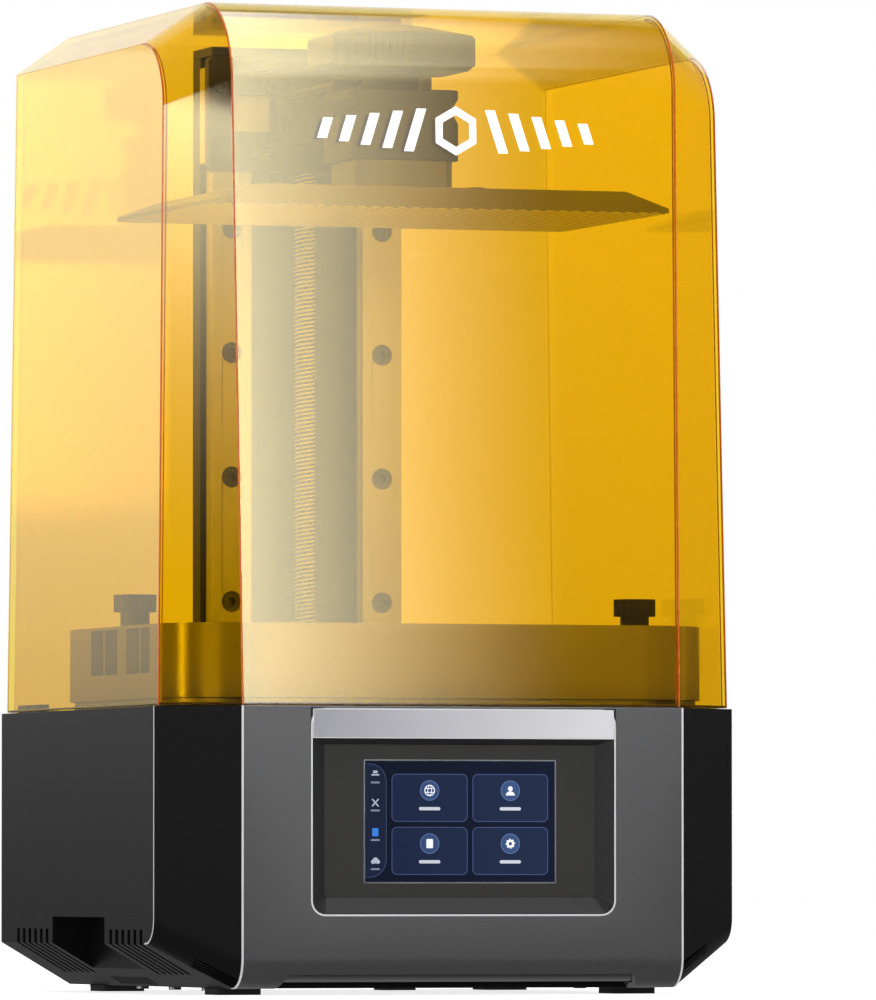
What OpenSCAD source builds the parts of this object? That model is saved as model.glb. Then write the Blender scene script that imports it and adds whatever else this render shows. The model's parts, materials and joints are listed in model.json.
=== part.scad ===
// Desktop resin printer: a base with a touch screen, a lift-off clear hood,
// a resin vat over an exposure screen, and a build plate on a screw-driven lift.
// Origin: middle of the footprint, on the surface the feet stand on.
// +Z is up, the front faces -Y, and the switch and power inlet are at the back.

/* [Overall] */
// Full width of the base
body_w = 284; // [276:1:292]
// Full depth of the base
body_d = 268; // [262:1:276]
// Full height, feet to hood roof
body_h = 460; // [456:1:468]
// Height of the seam between base and hood
seam_z = 133; // [132:0.5:134]
// Height of the feet
foot_h = 3; // [2.6:0.1:3.2]

/* [Base casing] */
// Half width of the flat front face
front_half = 107.5; // [104:0.5:110]
// How far back the sloping front corners reach
corner_back = 26; // [24:0.5:28]
// Height where the side faces meet the sloping underside
side_low = 23.3; // [20:0.1:26]
// Wall thickness of the base casing
wall = 3; // [2.6:0.1:3.2]
// Radius under the front face
front_curl = 14; // [12:0.5:16]
// Radius under the side faces' front ends
side_curl = 12; // [10:0.5:14]
// Width of a vent slot
slot_w = 4; // [3:0.1:5]
// Distance from slot to slot
slot_pitch = 9.3; // [8.5:0.1:9.5]
// Width of the bright trims along the front edges
trim_w = 0.9; // [0.7:0.1:1]

/* [Screen] */
// Half width of the screen recess
well_half = 74.5; // [72:0.5:76]
// Bottom of the screen recess
well_low = 36.4; // [34:0.2:40]
// Depth of the screen recess
well_deep = 5.8; // [5:0.2:6.4]
// Width of the lit display
display_w = 93; // [88:1:96]
// Height of the lit display
display_h = 56; // [52:1:58]
// Bottom of the bright plate above the screen
plate_low = 118.2; // [117.5:0.1:119]

/* [Hood] */
// Wall thickness of the hood
hood_wall = 2.6; // [2.2:0.1:2.8]
// Step from the base's outline in to the hood's
hood_step = 2; // [1.5:0.1:2.2]
// Gap between hood and base at rest
hood_gap = 0.4; // [0.3:0.1:0.6]
// How far the hood's front leans back at the roof
hood_lean = 12; // [10:0.5:14]
// Radius from the hood's front to its roof
roof_curve = 40; // [36:1:44]
// Radius at the top front of the hood's side faces
side_curve = 32; // [28:1:36]
// Height of the top of the hood's side faces above the floor
side_top = 441; // [438:0.5:444]

/* [Build plate and lift] */
// Half width of the build plate
plate_half = 112.5; // [108:0.5:113]
// Depth of the build plate
plate_d = 147; // [140:1:148]
// Place of the plate's middle, front to back
plate_y = -30; // [-31:0.5:-29]
// Height of the plate's underside with the lift at the top
plate_z = 365.1; // [364:0.1:366]
// Thickness of the build plate
plate_t = 9.9; // [8:0.1:10.5]
// Radius across the corners of the clamp knob
knob_r = 41; // [38:0.5:42]
// Radius of the lead screw
screw_r = 5; // [4.5:0.1:5.2]
// Place of the lead screw, front to back
screw_y = 99; // [98:0.5:99.5]
// Half width of the column
column_half = 51; // [50:0.5:52]
// Width of a guide rail
rail_w = 20; // [18:0.5:20]

/* [Vat] */
// Half width of the vat
vat_half = 133; // [131:0.5:133]
// Top of the vat
vat_top = 171.5; // [168:0.5:172]
// Half width of the vat's inside
tank_half = 117; // [115.5:0.5:118]
// Depth of the vat's inside
tank_d = 153; // [151:0.5:153]
// Place of the thumb screws, left and right of the middle
thumb_x = 124.5; // [124:0.1:125]
// Place of the thumb screws, front to back
thumb_y = -23.6; // [-26:0.1:-20]

/* [Hidden] */
$fn = 64;

side_half = body_w / 2;
front_y = -body_d / 2;
back_y = body_d / 2;
floor_z = foot_h;
run = 0.05;
sides = [-1, 1];

deck_top = seam_z - 0.2;
deck_t = 3;
deck_low = deck_top - deck_t;

tank_front = plate_y - tank_d / 2;
tank_back = plate_y + tank_d / 2;
vat_front = front_y + 12.5;
vat_back = tank_back + 13.5;
vat_low = seam_z + 4;
frame_low = seam_z + 0.4;
pocket_low = vat_top - 22.5;
pocket_top = vat_top - 1.5;

plate_top = plate_z + plate_t;
clamp_low = plate_top + 16;
clamp_top = clamp_low + 33.5;
knob_low = clamp_top + 9.3;
knob_flat = 16.5;
knob_cap = 5;
carriage_front = 75;
carriage_t = 6;
rail_front = 95;
rail_deep = 10;
rail_x = column_half - 2.8 - rail_w / 2;
channel_half = rail_x - rail_w / 2;
column_back = 117;
cap_low = body_h - 10.5;
cap_top = body_h - 6.3;
rail_pitch = 60;
rail_first = 186.9;
block_low = clamp_low + 7;
block_h = 46;
block_half = 14.5;
block_bolt = 12.7;
thumb_r = 3;

led_z = 62;
fan_y = plate_y;
rear_fan_x = -85;
rear_fan_z = 72;
switch_x = 70;
socket_z = 38;
inlet_x = 96;

// Points along an arc, for outlines
function arc(cy, cz, r, from, to, n = 12) =
    [for (i = [0:n]) let (a = from + (to - from) * i / n) [cy + r * cos(a), cz + r * sin(a)]];

// Side view of the base, seen in the Y-Z plane, with a rounded front lower edge
function base_side(front, low, r, top, back) =
    concat(arc(front + r, low + r, r, 270, 180), [[front, top], [back, top], [back, low]]);

// Side view of the hood: a front that leans back, a rounded brow and a flat roof
function hood_side(front, lean, low, roof, r, back) =
    let (a = atan(lean / (body_h - seam_z)),
         cz = roof - r,
         cy = front + (r + sin(a) * (cz - low)) / cos(a))
    concat([[front, low]], arc(cy, cz, r, 180 - a, 90, 16), [[back, roof], [back, low]]);

// An outline stood at x, drawn in by taper for each millimetre of height
function ring(x, taper, outline) =
    [for (p = outline) [x + sign(x) * taper * (p[1] - seam_z), p[0], p[1]]];

// A closed solid through outlines that all have the same number of points
module loft(rings) {
    n = len(rings[0]);
    last = len(rings) - 1;
    points = [for (r = rings) for (p = r) p];
    skins = [for (k = [0:last - 1]) for (i = [0:n - 1])
             let (a = k * n + i, b = k * n + (i + 1) % n) [[a, b, b + n], [a, b + n, a + n]]];
    faces = concat([for (pair = skins) for (f = pair) f],
                   [[for (i = [n - 1:-1:0]) i]],
                   [[for (i = [0:n - 1]) last * n + i]]);
    polyhedron(points, faces, convexity = 4);
}

// The base's outer form, drawn in by t on every side
module base_form(t, top) {
    middle = base_side(front_y + t, floor_z + t, front_curl - t, top, back_y - t);
    side = base_side(front_y + corner_back + t / 2, side_low + 0.57 * t, side_curl - t / 2,
                     top, back_y - t);
    flat = front_half - t / 3;
    loft([ring(t - side_half, 0, side), ring(-flat, 0, middle),
          ring(flat, 0, middle), ring(side_half - t, 0, side)]);
}

// The hood's outer form, drawn in by t on every side, from low up to the roof
module hood_form(t, low) {
    in = hood_step + t;
    middle = hood_side(front_y + in, hood_lean, low, body_h - t, roof_curve - t, back_y - in);
    side = hood_side(front_y + corner_back + in / 2, hood_lean / 2, low, side_top - t / 2,
                     side_curve - t / 2, back_y - in);
    flat = front_half - in / 3;
    edge = side_half - in;
    loft([ring(-edge, -0.0138, side), ring(-flat, 0.007, middle),
          ring(flat, 0.007, middle), ring(edge, -0.0138, side)]);
}

// A bar along X with the given outline in the Y-Z plane
module along_x(x0, x1) {
    translate([x0, 0, 0]) rotate([90, 0, 90]) linear_extrude(x1 - x0) children();
}

// A bar along Y with the given outline in the X-Z plane
module along_y(y0, y1) {
    translate([0, y1, 0]) rotate([90, 0, 0]) linear_extrude(y1 - y0) children();
}

// A block given by its lowest and highest corners
module block(low, high) {
    translate(low) cube(high - low);
}

// A flat rounded rectangle between two corners
module soft_rect(low, high, r) {
    translate([low[0] + r, low[1]]) square([high[0] - low[0] - 2 * r, high[1] - low[1]]);
    translate([low[0], low[1] + r]) square([high[0] - low[0], high[1] - low[1] - 2 * r]);
    for (x = [low[0] + r, high[0] - r], y = [low[1] + r, high[1] - r])
        translate([x, y]) circle(r);
}

// A standing plate with rounded vertical edges
module soft_block(low, high, r) {
    translate([0, 0, low[2]]) linear_extrude(high[2] - low[2])
        soft_rect([low[0], low[1]], [high[0], high[1]], r);
}

// A pin or hole that stands on end
module post(x, y, z0, z1, r) {
    translate([x, y, z0]) cylinder(h = z1 - z0, r = r);
}

// A pin or hole that runs front to back
module dowel(x, z, y0, y1, r) {
    translate([x, y1, z]) rotate([90, 0, 0]) cylinder(h = y1 - y0, r = r);
}

// The outline ring that a trim follows on a side view
module trim_line(front, low, r) {
    difference() {
        polygon(base_side(front, low, r, seam_z, front + 25));
        polygon(base_side(front + 0.8, low + 0.8, r - 0.8, seam_z + 1, front + 30));
        translate([front + r + 2, low - 1]) square([40, seam_z + 2]);
    }
}

module edge_trims() {
    color("silver") for (s = sides) {
        inner = s * (front_half - trim_w / 2);
        outer = s * (side_half - trim_w);
        along_x(min(inner, inner + s * trim_w), max(inner, inner + s * trim_w))
            trim_line(front_y, floor_z, front_curl);
        along_x(min(outer, s * side_half), max(outer, s * side_half))
            trim_line(front_y + corner_back, side_low, side_curl);
    }
}

handhold_front = -32;
handhold_back = 50;
handhold_top = 35.7;
handhold_in = 20;
bottom_screw_x = 101;
bottom_screw_ys = [-62, -12, 38, 112];

// The space of one side's handhold, s = -1 on the left
module handhold_space(s) {
    x = s * (side_half - handhold_in);
    block([min(x, s * 150), handhold_front, 0], [max(x, s * 150), handhold_back, handhold_top]);
}

// The walls round one side's handhold
module handhold_walls(s) {
    x = s * (side_half - handhold_in - wall);
    intersection() {
        base_form(0, seam_z);
        block([min(x, s * 150), handhold_front - wall, 0],
              [max(x, s * 150), handhold_back + wall, handhold_top + wall]);
    }
}

// One bank of six wide slots that runs from the side face down the slope
module vent_bank(s, first) {
    for (i = [0:5]) {
        y = first + i * slot_pitch;
        block([min(s * 118, s * 150), y, 5], [max(s * 118, s * 150), y + slot_w, 30]);
    }
}

module base_shell() {
    color([0.13, 0.13, 0.14]) difference() {
        union() {
            difference() {
                base_form(0, seam_z);
                base_form(wall, seam_z + 20);
            }
            for (s = sides) handhold_walls(s);
        }
        block([-front_half, front_y - 5, 0], [front_half, front_y + 22, seam_z + 5]);
        block([-98, -104, 0], [98, 122, 10]);
        for (s = sides) {
            handhold_space(s);
            vent_bank(s, -90.5);
            vent_bank(s, 57);
            for (i = [0:12])
                block([min(s * 109, s * 115), -12 + i * 4.6, 0],
                      [max(s * 109, s * 115), -10 + i * 4.6, 12]);
            for (y = bottom_screw_ys) post(s * bottom_screw_x, y, 0, 8, 1.6);
        }
        dowel(rear_fan_x, rear_fan_z, back_y - 5, back_y + 1, 28);
        dowel(inlet_x, socket_z, back_y - 5, back_y + 1, 6);
        block([switch_x - 11, back_y - 5, socket_z - 9], [switch_x + 11, back_y + 1, socket_z + 9]);
        block([side_half - 5, -89, 83], [side_half + 1, -74, 90]);
        edge_trims();
    }
}

notch_top = 9.6;

module front_panel() {
    color([0.45, 0.45, 0.47]) difference() {
        intersection() {
            difference() {
                base_form(0, seam_z);
                base_form(2.6, seam_z + 20);
            }
            block([-front_half, front_y - 5, 0], [front_half, front_y + 22, seam_z + 5]);
        }
        along_y(front_y - 1, front_y + 5) {
            soft_rect([-well_half, well_low], [well_half, well_low + 30], 7);
            translate([-well_half, well_low + 15])
                square([2 * well_half, seam_z - 1 - well_low - 15]);
        }
        along_y(front_y - 1, front_y + 30)
            polygon([[-90, -1], [90, -1], [84, notch_top], [-84, notch_top]]);
        edge_trims();
    }
}

// The lip that closes the shallow notch under the front panel from behind
module bottom_lip() {
    intersection() {
        difference() {
            base_form(wall, seam_z);
            base_form(wall + 1.8, seam_z + 20);
        }
        block([-93, front_y, 0], [93, -105, 14]);
    }
}

module bottom_plate() {
    color([0.2, 0.2, 0.21]) difference() {
        union() {
            block([-104, -108, floor_z + wall], [104, 126, floor_z + wall + 1.5]);
            bottom_lip();
        }
        for (s = sides, y = bottom_screw_ys) post(s * bottom_screw_x, y, 0, 10, 1.6);
        for (i = [-4:4]) soft_block([i * 8 - 1.5, fan_y - 30, 0], [i * 8 + 1.5, fan_y + 30, 10], 1.4);
    }
}

module bottom_screws() {
    color("dimgray") for (s = sides, y = bottom_screw_ys) {
        difference() {
            post(s * bottom_screw_x, y, floor_z - 1.4, floor_z, 3);
            translate([s * bottom_screw_x, y, floor_z - 2]) cylinder(h = 1.2, r = 1.3, $fn = 6);
        }
        post(s * bottom_screw_x, y, floor_z, floor_z + 7, 1.5);
    }
}

module feet() {
    color([0.1, 0.1, 0.1]) {
        for (x = [-97, 97], y = [-88, 90])
            soft_block([x - 11, y - 11, 0], [x + 10.4, y + 11, floor_z], 2.5);
        for (x = [-43, 43])
            soft_block([x - 8.5, 81.5, 0], [x + 8.5, 98.5, floor_z + wall], 2.5);
    }
}

module name_plate() {
    color("gainsboro")
        block([-73.5, front_y - 0.0, plate_low], [73.5, front_y + 3, seam_z - 1.3]);
}

// Outline of the screen surround, in the X-Z plane
module well_outline(half, low, high, r) {
    soft_rect([-half, low], [half, low + 4 * r], r);
    translate([-half, low + 2 * r]) square([2 * half, high - low - 2 * r]);
}

glass_half = 66.4;
glass_low = 45;
glass_high = 115.5;

module screen_bezel() {
    color([0.12, 0.12, 0.13]) difference() {
        along_y(front_y + 0.1, front_y + well_deep + 2)
            well_outline(well_half - 0.3, well_low + 0.3, seam_z - 1.3, 7);
        hull() {
            along_y(front_y - 1, front_y)
                well_outline(well_half - 1.2, well_low + 1.2, plate_low - 0.2, 6);
            along_y(front_y + well_deep - 0.01, front_y + well_deep)
                well_outline(glass_half, glass_low, glass_high, 1.5);
        }
        block([-80, front_y - 1, plate_low - 0.2], [80, front_y + 3, seam_z]);
        block([-80, front_y + 2, deck_low - 0.2], [80, front_y + 12, seam_z]);
        along_y(front_y, front_y + 12) well_outline(glass_half, glass_low, glass_high, 1.5);
    }
}

display_low = 80 - display_h / 2;

module touch_glass() {
    color([0.05, 0.05, 0.06]) difference() {
        along_y(front_y + well_deep, front_y + well_deep + 1.8)
            well_outline(glass_half - 0.1, glass_low + 0.1, glass_high - 0.1, 1.5);
        block([-display_w / 2, front_y, display_low],
              [display_w / 2, front_y + 12, display_low + display_h]);
    }
}

module screen_display() {
    color([0.12, 0.16, 0.3])
        block([-display_w / 2, front_y + well_deep + 0.1, display_low],
              [display_w / 2, front_y + well_deep + 4, display_low + display_h]);
}

// Plan of the base, drawn in by t
function base_plan(t) = [[-front_half + t / 3, front_y + t], [front_half - t / 3, front_y + t],
    [side_half - t, front_y + corner_back + t / 2], [side_half - t, back_y - t],
    [t - side_half, back_y - t], [t - side_half, front_y + corner_back + t / 2]];

deck_screw_spots = [[-122, 66], [122, 66], [-122, 122], [122, 122], [-70, 122], [70, 122]];
mask_half = 113;
mask_deep = 67;

module deck_plate() {
    color([0.3, 0.3, 0.31]) difference() {
        translate([0, 0, deck_low]) linear_extrude(deck_t) polygon(base_plan(wall + 0.2));
        block([-mask_half - 0.2, plate_y - mask_deep - 0.2, 0],
              [mask_half + 0.2, plate_y + mask_deep + 0.2, 200]);
        post(0, screw_y, 0, 200, 12);
        for (s = sides) post(s * thumb_x, thumb_y, 0, 200, thumb_r + run);
        for (p = deck_screw_spots) post(p[0], p[1], 0, 200, 1.6);
    }
}

module deck_screws() {
    color("silver") for (p = deck_screw_spots) {
        difference() {
            post(p[0], p[1], deck_top, deck_top + 1.8, 3.2);
            translate([p[0], p[1], deck_top + 0.7]) cylinder(h = 2, r = 1.5, $fn = 6);
        }
        post(p[0], p[1], deck_low - 5, deck_top, 1.5);
    }
}

module hood_stops() {
    color([0.15, 0.15, 0.15]) for (s = sides, y = [99, 119]) {
        x = s * 133.6;
        soft_block([x - 2.6, y - 8, deck_top], [x + 2.6, y + 8, deck_top + 4], 1.2);
    }
}

module mask_screen() {
    color([0.08, 0.08, 0.1])
        block([-mask_half, plate_y - mask_deep, deck_top - 1.7],
              [mask_half, plate_y + mask_deep, deck_top + 0.3]);
}

// A flat ring between two rectangles round the plate's middle
module window_ring(half_out, deep_out, half_in, deep_in, z0, z1) {
    difference() {
        block([-half_out, plate_y - deep_out, z0], [half_out, plate_y + deep_out, z1]);
        block([-half_in, plate_y - deep_in, z0 - 1], [half_in, plate_y + deep_in, z1 + 1]);
    }
}

module mask_frame() {
    color([0.5, 0.5, 0.5]) {
        window_ring(118, 72, mask_half - 3.5, mask_deep - 3.5, deck_low - 2, deck_low);
        window_ring(mask_half, mask_deep, mask_half - 3.5, mask_deep - 3.5, deck_low, deck_top - 1.7);
    }
}

module light_housing() {
    color([0.85, 0.85, 0.85])
        window_ring(116, 69, mask_half, mask_deep - 1, led_z + 2, deck_low - 2);
}

module fresnel_lens() {
    color([0.8, 0.85, 0.9, 0.5])
        block([-mask_half, plate_y - mask_deep + 1, 112], [mask_half, plate_y + mask_deep - 1, 115]);
}

module led_board() {
    color("darkgreen") block([-116, plate_y - 69, led_z], [116, plate_y + 69, led_z + 2]);
}

module led_chips() {
    color("khaki") for (i = [-4:4], j = [-2:2]) {
        x = i * 24;
        y = plate_y + j * 25;
        block([x - 2, y - 2, led_z + 2], [x + 2, y + 2, led_z + 3.4]);
    }
}

module heat_sink() {
    color("lightgray") {
        block([-100, plate_y - 55, led_z - 5], [100, plate_y + 55, led_z]);
        for (i = [-10:10])
            block([i * 9.5 - 0.9, plate_y - 55, led_z - 20], [i * 9.5 + 0.9, plate_y + 55, led_z - 5]);
    }
}

// Fan casing round the Z axis, open through the middle, with a hub held by four arms
module fan_frame(half, deep, bore, hub) {
    difference() {
        linear_extrude(deep) soft_rect([-half, -half], [half, half], 4);
        translate([0, 0, -1]) cylinder(h = deep + 2, r = bore);
        for (x = [-1, 1], y = [-1, 1])
            translate([x * (half - 4.5), y * (half - 4.5), -1]) cylinder(h = deep + 2, r = 2);
    }
    cylinder(h = 1.8, r = hub);
    for (a = [45:90:315]) rotate([0, 0, a]) translate([hub - 1, -1.5, 0]) cube([bore - hub + 2, 3, 1.8]);
}

// Fan wheel round the Z axis
module fan_wheel(low, high, tip, hub, blades) {
    translate([0, 0, low]) cylinder(h = high - low, r = hub);
    for (k = [0:blades - 1]) rotate([0, 0, k * 360 / blades])
        translate([hub - 1.5, 0, (low + high) / 2]) rotate([38, 0, 0])
            translate([0, -6.5, -0.7]) cube([tip - hub + 1.2, 13, 1.4]);
}

light_fan_z = 24;

module light_fan_frame() {
    color([0.1, 0.1, 0.1]) translate([0, fan_y, light_fan_z]) fan_frame(40, 15, 37.5, 15);
}

module light_fan_rotor() {
    color([0.2, 0.2, 0.2]) translate([0, fan_y, light_fan_z]) fan_wheel(2.4, 14, 36, 15, 7);
}

module main_board() {
    color("darkgreen") block([-112, 50, 14], [-36, 125, 15.6]);
}

module board_parts() {
    color([0.2, 0.2, 0.22]) {
        for (x = [-98, -42], y = [55, 120]) post(x, y, floor_z + wall + 1.5, 14, 3);
        block([-88, 76, 15.6], [-72, 92, 17.6]);
        block([-64, 60, 15.6], [-54, 70, 17.2]);
        block([-110, 64, 15.6], [-102, 108, 24]);
        for (i = [0:3]) block([-92 + i * 12, 112, 15.6], [-83 + i * 12, 120, 23]);
        for (x = [-50, -58], y = [84, 96]) post(x, y, 15.6, 28, 3.6);
    }
}

motor_top = 98;
motor_half = 21.15;

module stepper_motor() {
    color([0.25, 0.25, 0.26]) difference() {
        union() {
            translate([0, screw_y, 58]) linear_extrude(motor_top - 58)
                polygon([for (a = [0:90:270], b = [16.5, motor_half])
                    let (u = b == 16.5 ? motor_half : 16.5, v = b)
                    [u * cos(a) - v * sin(a), u * sin(a) + v * cos(a)]]);
            post(0, screw_y, motor_top, motor_top + 2, 11);
        }
        post(0, screw_y, 70, 110, 2.5 + run);
    }
}

module motor_bracket() {
    color("silver") difference() {
        union() {
            block([-36, 74, motor_top], [36, 124, motor_top + 3]);
            for (s = sides) {
                block([min(s * 33, s * 36), 74, motor_top], [max(s * 33, s * 36), 124, deck_low]);
                block([min(s * 33, s * 48), 74, deck_low - 3], [max(s * 33, s * 48), 124, deck_low]);
            }
        }
        post(0, screw_y, 90, 110, 11 + run);
    }
}

module motor_shaft() {
    color("lightgray") post(0, screw_y, 72, 114, 2.5);
}

coupling_low = 104;

module shaft_coupling() {
    color("gainsboro") difference() {
        post(0, screw_y, coupling_low, coupling_low + 23, 9.5);
        post(0, screw_y, coupling_low - 1, 114, 2.5);
        post(0, screw_y, 114, 140, screw_r);
        for (z = [110, 120]) block([0, screw_y - 0.5, z - 3.4], [12, screw_y + 0.5, z + 3.4]);
    }
}

module lead_screw() {
    color("silver") post(0, screw_y, 114, cap_top - 0.4, screw_r);
}

nut_tab = clamp_low + 22;

module lead_nut() {
    color("goldenrod") difference() {
        union() {
            post(0, screw_y, nut_tab - 12, nut_tab + 6, 7.5);
            post(0, screw_y, nut_tab - 3.5, nut_tab, 10);
        }
        post(0, screw_y, 300, 500, screw_r + run);
    }
}

module top_bearing() {
    color("silver") difference() {
        post(0, screw_y, cap_low, cap_top, 9);
        post(0, screw_y, 400, 500, screw_r + run);
    }
}

module column() {
    color([0.16, 0.16, 0.17]) difference() {
        translate([0, 0, deck_top]) linear_extrude(cap_low - deck_top) difference() {
            translate([-column_half, rail_front + rail_deep])
                square([2 * column_half, column_back - rail_front - rail_deep]);
            translate([-column_half + 3, rail_front + rail_deep + 3])
                square([2 * column_half - 6, column_back - rail_front - rail_deep - 6]);
            translate([-channel_half, rail_front]) square([2 * channel_half, 16]);
        }
        for (s = sides, k = [0:4])
            dowel(s * rail_x, rail_first + k * rail_pitch - 20 * floor(k / 4), rail_front + 2,
                  rail_front + 18, 3 + run);
    }
}

module column_cap() {
    color([0.18, 0.18, 0.19]) difference() {
        block([-column_half, screw_y - 12, cap_low], [column_half, column_back, cap_top]);
        post(0, screw_y, 400, 500, 9);
    }
}

rail_low = deck_top + 3;
rail_high = cap_low - 1;

// Cross-section of a guide rail, with a groove down each side
module rail_section() {
    half = rail_w / 2;
    polygon([[-half, rail_front], [half, rail_front], [half, rail_front + 2.5],
             [half - 1.6, rail_front + 4], [half - 1.6, rail_front + 6], [half, rail_front + 7.5],
             [half, rail_front + rail_deep], [-half, rail_front + rail_deep],
             [-half, rail_front + 7.5], [-half + 1.6, rail_front + 6],
             [-half + 1.6, rail_front + 4], [-half, rail_front + 2.5]]);
}

// Heights of the screws along a rail
rail_screw_zs = [for (k = [0:4]) rail_first + k * rail_pitch - 20 * floor(k / 4)];

module guide_rails() {
    color([0.3, 0.3, 0.31]) for (s = sides) difference() {
        translate([s * rail_x, 0, rail_low]) linear_extrude(rail_high - rail_low) rail_section();
        for (z = rail_screw_zs) {
            dowel(s * rail_x, z, rail_front - 1, rail_front + 5, 5);
            dowel(s * rail_x, z, rail_front, rail_front + 12, 3);
        }
    }
}

module rail_screws() {
    color("silver") for (s = sides, z = rail_screw_zs) {
        difference() {
            dowel(s * rail_x, z, rail_front + 1, rail_front + 5, 4.7);
            translate([s * rail_x, rail_front + 3.4, z]) rotate([90, 0, 0])
                cylinder(h = 4, r = 2.4, $fn = 6);
        }
        dowel(s * rail_x, z, rail_front + 5, rail_front + 14, 3);
    }
}

module bearing_blocks() {
    color([0.28, 0.28, 0.3]) for (s = sides) difference() {
        translate([s * rail_x, 0, 0])
            block([-block_half, carriage_front + carriage_t, block_low],
                  [block_half, rail_front + 6, block_low + block_h]);
        translate([s * rail_x, 0, 0])
            block([-rail_w / 2 - 0.4, rail_front - 0.4, block_low - 1],
                  [rail_w / 2 + 0.4, rail_front + 20, block_low + block_h + 1]);
    }
}

carriage_half = 56.6;
carriage_low = clamp_low + 2;
carriage_high = clamp_low + 57;
carriage_mid = block_low + block_h / 2;

module carriage_plate() {
    color([0.2, 0.2, 0.21]) {
        difference() {
            along_y(carriage_front, carriage_front + carriage_t)
                soft_rect([-carriage_half, carriage_low], [carriage_half, carriage_high], 3);
            for (s = sides) translate([s * 28.8, 0, carriage_mid]) {
                block([-15.4, 0, -8.8], [15.4, 200, 8.8]);
                for (z = [-19, 19]) block([-6, 0, z - 1.2], [5, 200, z + 1.2]);
                block([-s * 9.9 - 3.2, 0, 14], [-s * 9.9 + 3.2, 200, 17.4]);
            }
        }
        difference() {
            block([-12, carriage_front + carriage_t, nut_tab], [12, screw_y + 9, nut_tab + 6]);
            post(0, screw_y, nut_tab - 1, nut_tab + 7, 7.5);
        }
    }
}

// A cap screw that points back along +Y, with its head in front of y
module cap_screw_y(x, y, z, r) {
    difference() {
        dowel(x, z, y - 3, y, r);
        translate([x, y - 1.2, z]) rotate([90, 0, 0]) cylinder(h = 3, r = r * 0.5, $fn = 6);
    }
}

module carriage_screws() {
    color("silver") {
        for (s = sides, u = [-block_bolt, block_bolt], v = [-block_bolt, block_bolt])
            cap_screw_y(s * rail_x + u, carriage_front, carriage_mid + v, 3.2);
        for (x = [-36, 36], y = [plate_y - 18, plate_y + 18]) difference() {
            post(x, y, plate_top, plate_top + 4, 4.2);
            translate([x, y, plate_top + 1.8]) cylinder(h = 3, r = 2.1, $fn = 6);
        }
    }
}

clamp_half = 26.5;
clamp_front = plate_y - 23;
clamp_back = plate_y + 22;

module arm() {
    color([0.2, 0.2, 0.21]) difference() {
        along_y(clamp_back, carriage_front)
            polygon([[-20, clamp_low + 14], [20, clamp_low + 14], [22, clamp_low + 16],
                     [22, clamp_low + 38], [20, clamp_low + 40], [-20, clamp_low + 40],
                     [-22, clamp_low + 38], [-22, clamp_low + 16]]);
        for (s = sides)
            block([min(s * 17, s * 30), clamp_back + 8, clamp_low + 19],
                  [max(s * 17, s * 30), carriage_front - 8, clamp_low + 35]);
    }
}

module clamp_block() {
    color([0.2, 0.2, 0.21]) difference() {
        union() {
            intersection() {
                along_y(clamp_front, clamp_back)
                    polygon([[-clamp_half, clamp_low], [clamp_half, clamp_low],
                             [clamp_half, clamp_low + 18], [clamp_half - 5.5, clamp_low + 23.5],
                             [clamp_half, clamp_low + 29], [clamp_half, clamp_top],
                             [-clamp_half, clamp_top], [-clamp_half, clamp_low + 29],
                             [-clamp_half + 5.5, clamp_low + 23.5], [-clamp_half, clamp_low + 18]]);
                translate([0, 0, clamp_low]) linear_extrude(clamp_top - clamp_low)
                    polygon([[-clamp_half + 3, clamp_front], [clamp_half - 3, clamp_front],
                             [clamp_half, clamp_front + 3], [clamp_half, clamp_back],
                             [-clamp_half, clamp_back], [-clamp_half, clamp_front + 3]]);
            }
            post(0, plate_y, clamp_top, knob_low - 0.4, 14);
        }
        post(0, plate_y, 380, 440, 4 + run);
    }
}

module clamp_screw() {
    color("silver") post(0, plate_y, clamp_low + 0.3, knob_low, 4);
}

module hex_knob() {
    color([0.2, 0.2, 0.21]) translate([0, plate_y, knob_low]) rotate([0, 0, 30]) {
        cylinder(h = knob_flat, r = knob_r, $fn = 6);
        translate([0, 0, knob_flat]) cylinder(h = knob_cap, r1 = knob_r, r2 = 17, $fn = 6);
    }
}

module plate_neck() {
    half = 24;
    color([0.45, 0.45, 0.46])
        translate([0, plate_y, plate_top]) linear_extrude(clamp_low - plate_top)
            polygon([[-half + 4, -22], [half - 4, -22], [half, -18], [half, 17], [half - 4, 21],
                     [-half + 4, 21], [-half, 17], [-half, -18]]);
}

module build_plate() {
    bevel = 21.5;
    color([0.3, 0.3, 0.32]) along_y(plate_y - plate_d / 2, plate_y + plate_d / 2)
        polygon([[-plate_half, plate_z], [plate_half, plate_z], [plate_half, plate_z + 2.4],
                 [plate_half - bevel, plate_top], [-plate_half + bevel, plate_top],
                 [-plate_half, plate_z + 2.4]]);
}

flag_x = -17;

module sensor_flag() {
    color([0.1, 0.1, 0.1])
        block([flag_x - 0.6, carriage_front + carriage_t, carriage_low - 8],
              [flag_x + 0.6, screw_y + 3, carriage_low + 7]);
}

module limit_sensor() {
    color([0.1, 0.1, 0.1]) difference() {
        block([flag_x - 4, screw_y - 5, 150], [flag_x + 4, column_back - 3, 160]);
        block([flag_x - 1.8, screw_y - 6, 140], [flag_x + 1.8, screw_y + 6, 170]);
    }
}

// Plan of the vat: wide round front corners, tighter ones at the back
module vat_plan(t) {
    half = vat_half - t;
    r = 40 - t;
    intersection() {
        soft_rect([-half, vat_front + t], [half, vat_back + 60], r);
        soft_rect([-half, vat_front - 60], [half, vat_back - t], 10 - t / 2);
    }
}

// The open inside of the vat
module tank_space(z0, z1, t = 0) {
    soft_block([-tank_half + t, tank_front + t, z0], [tank_half - t, tank_back - t, z1], 8);
}

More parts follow.
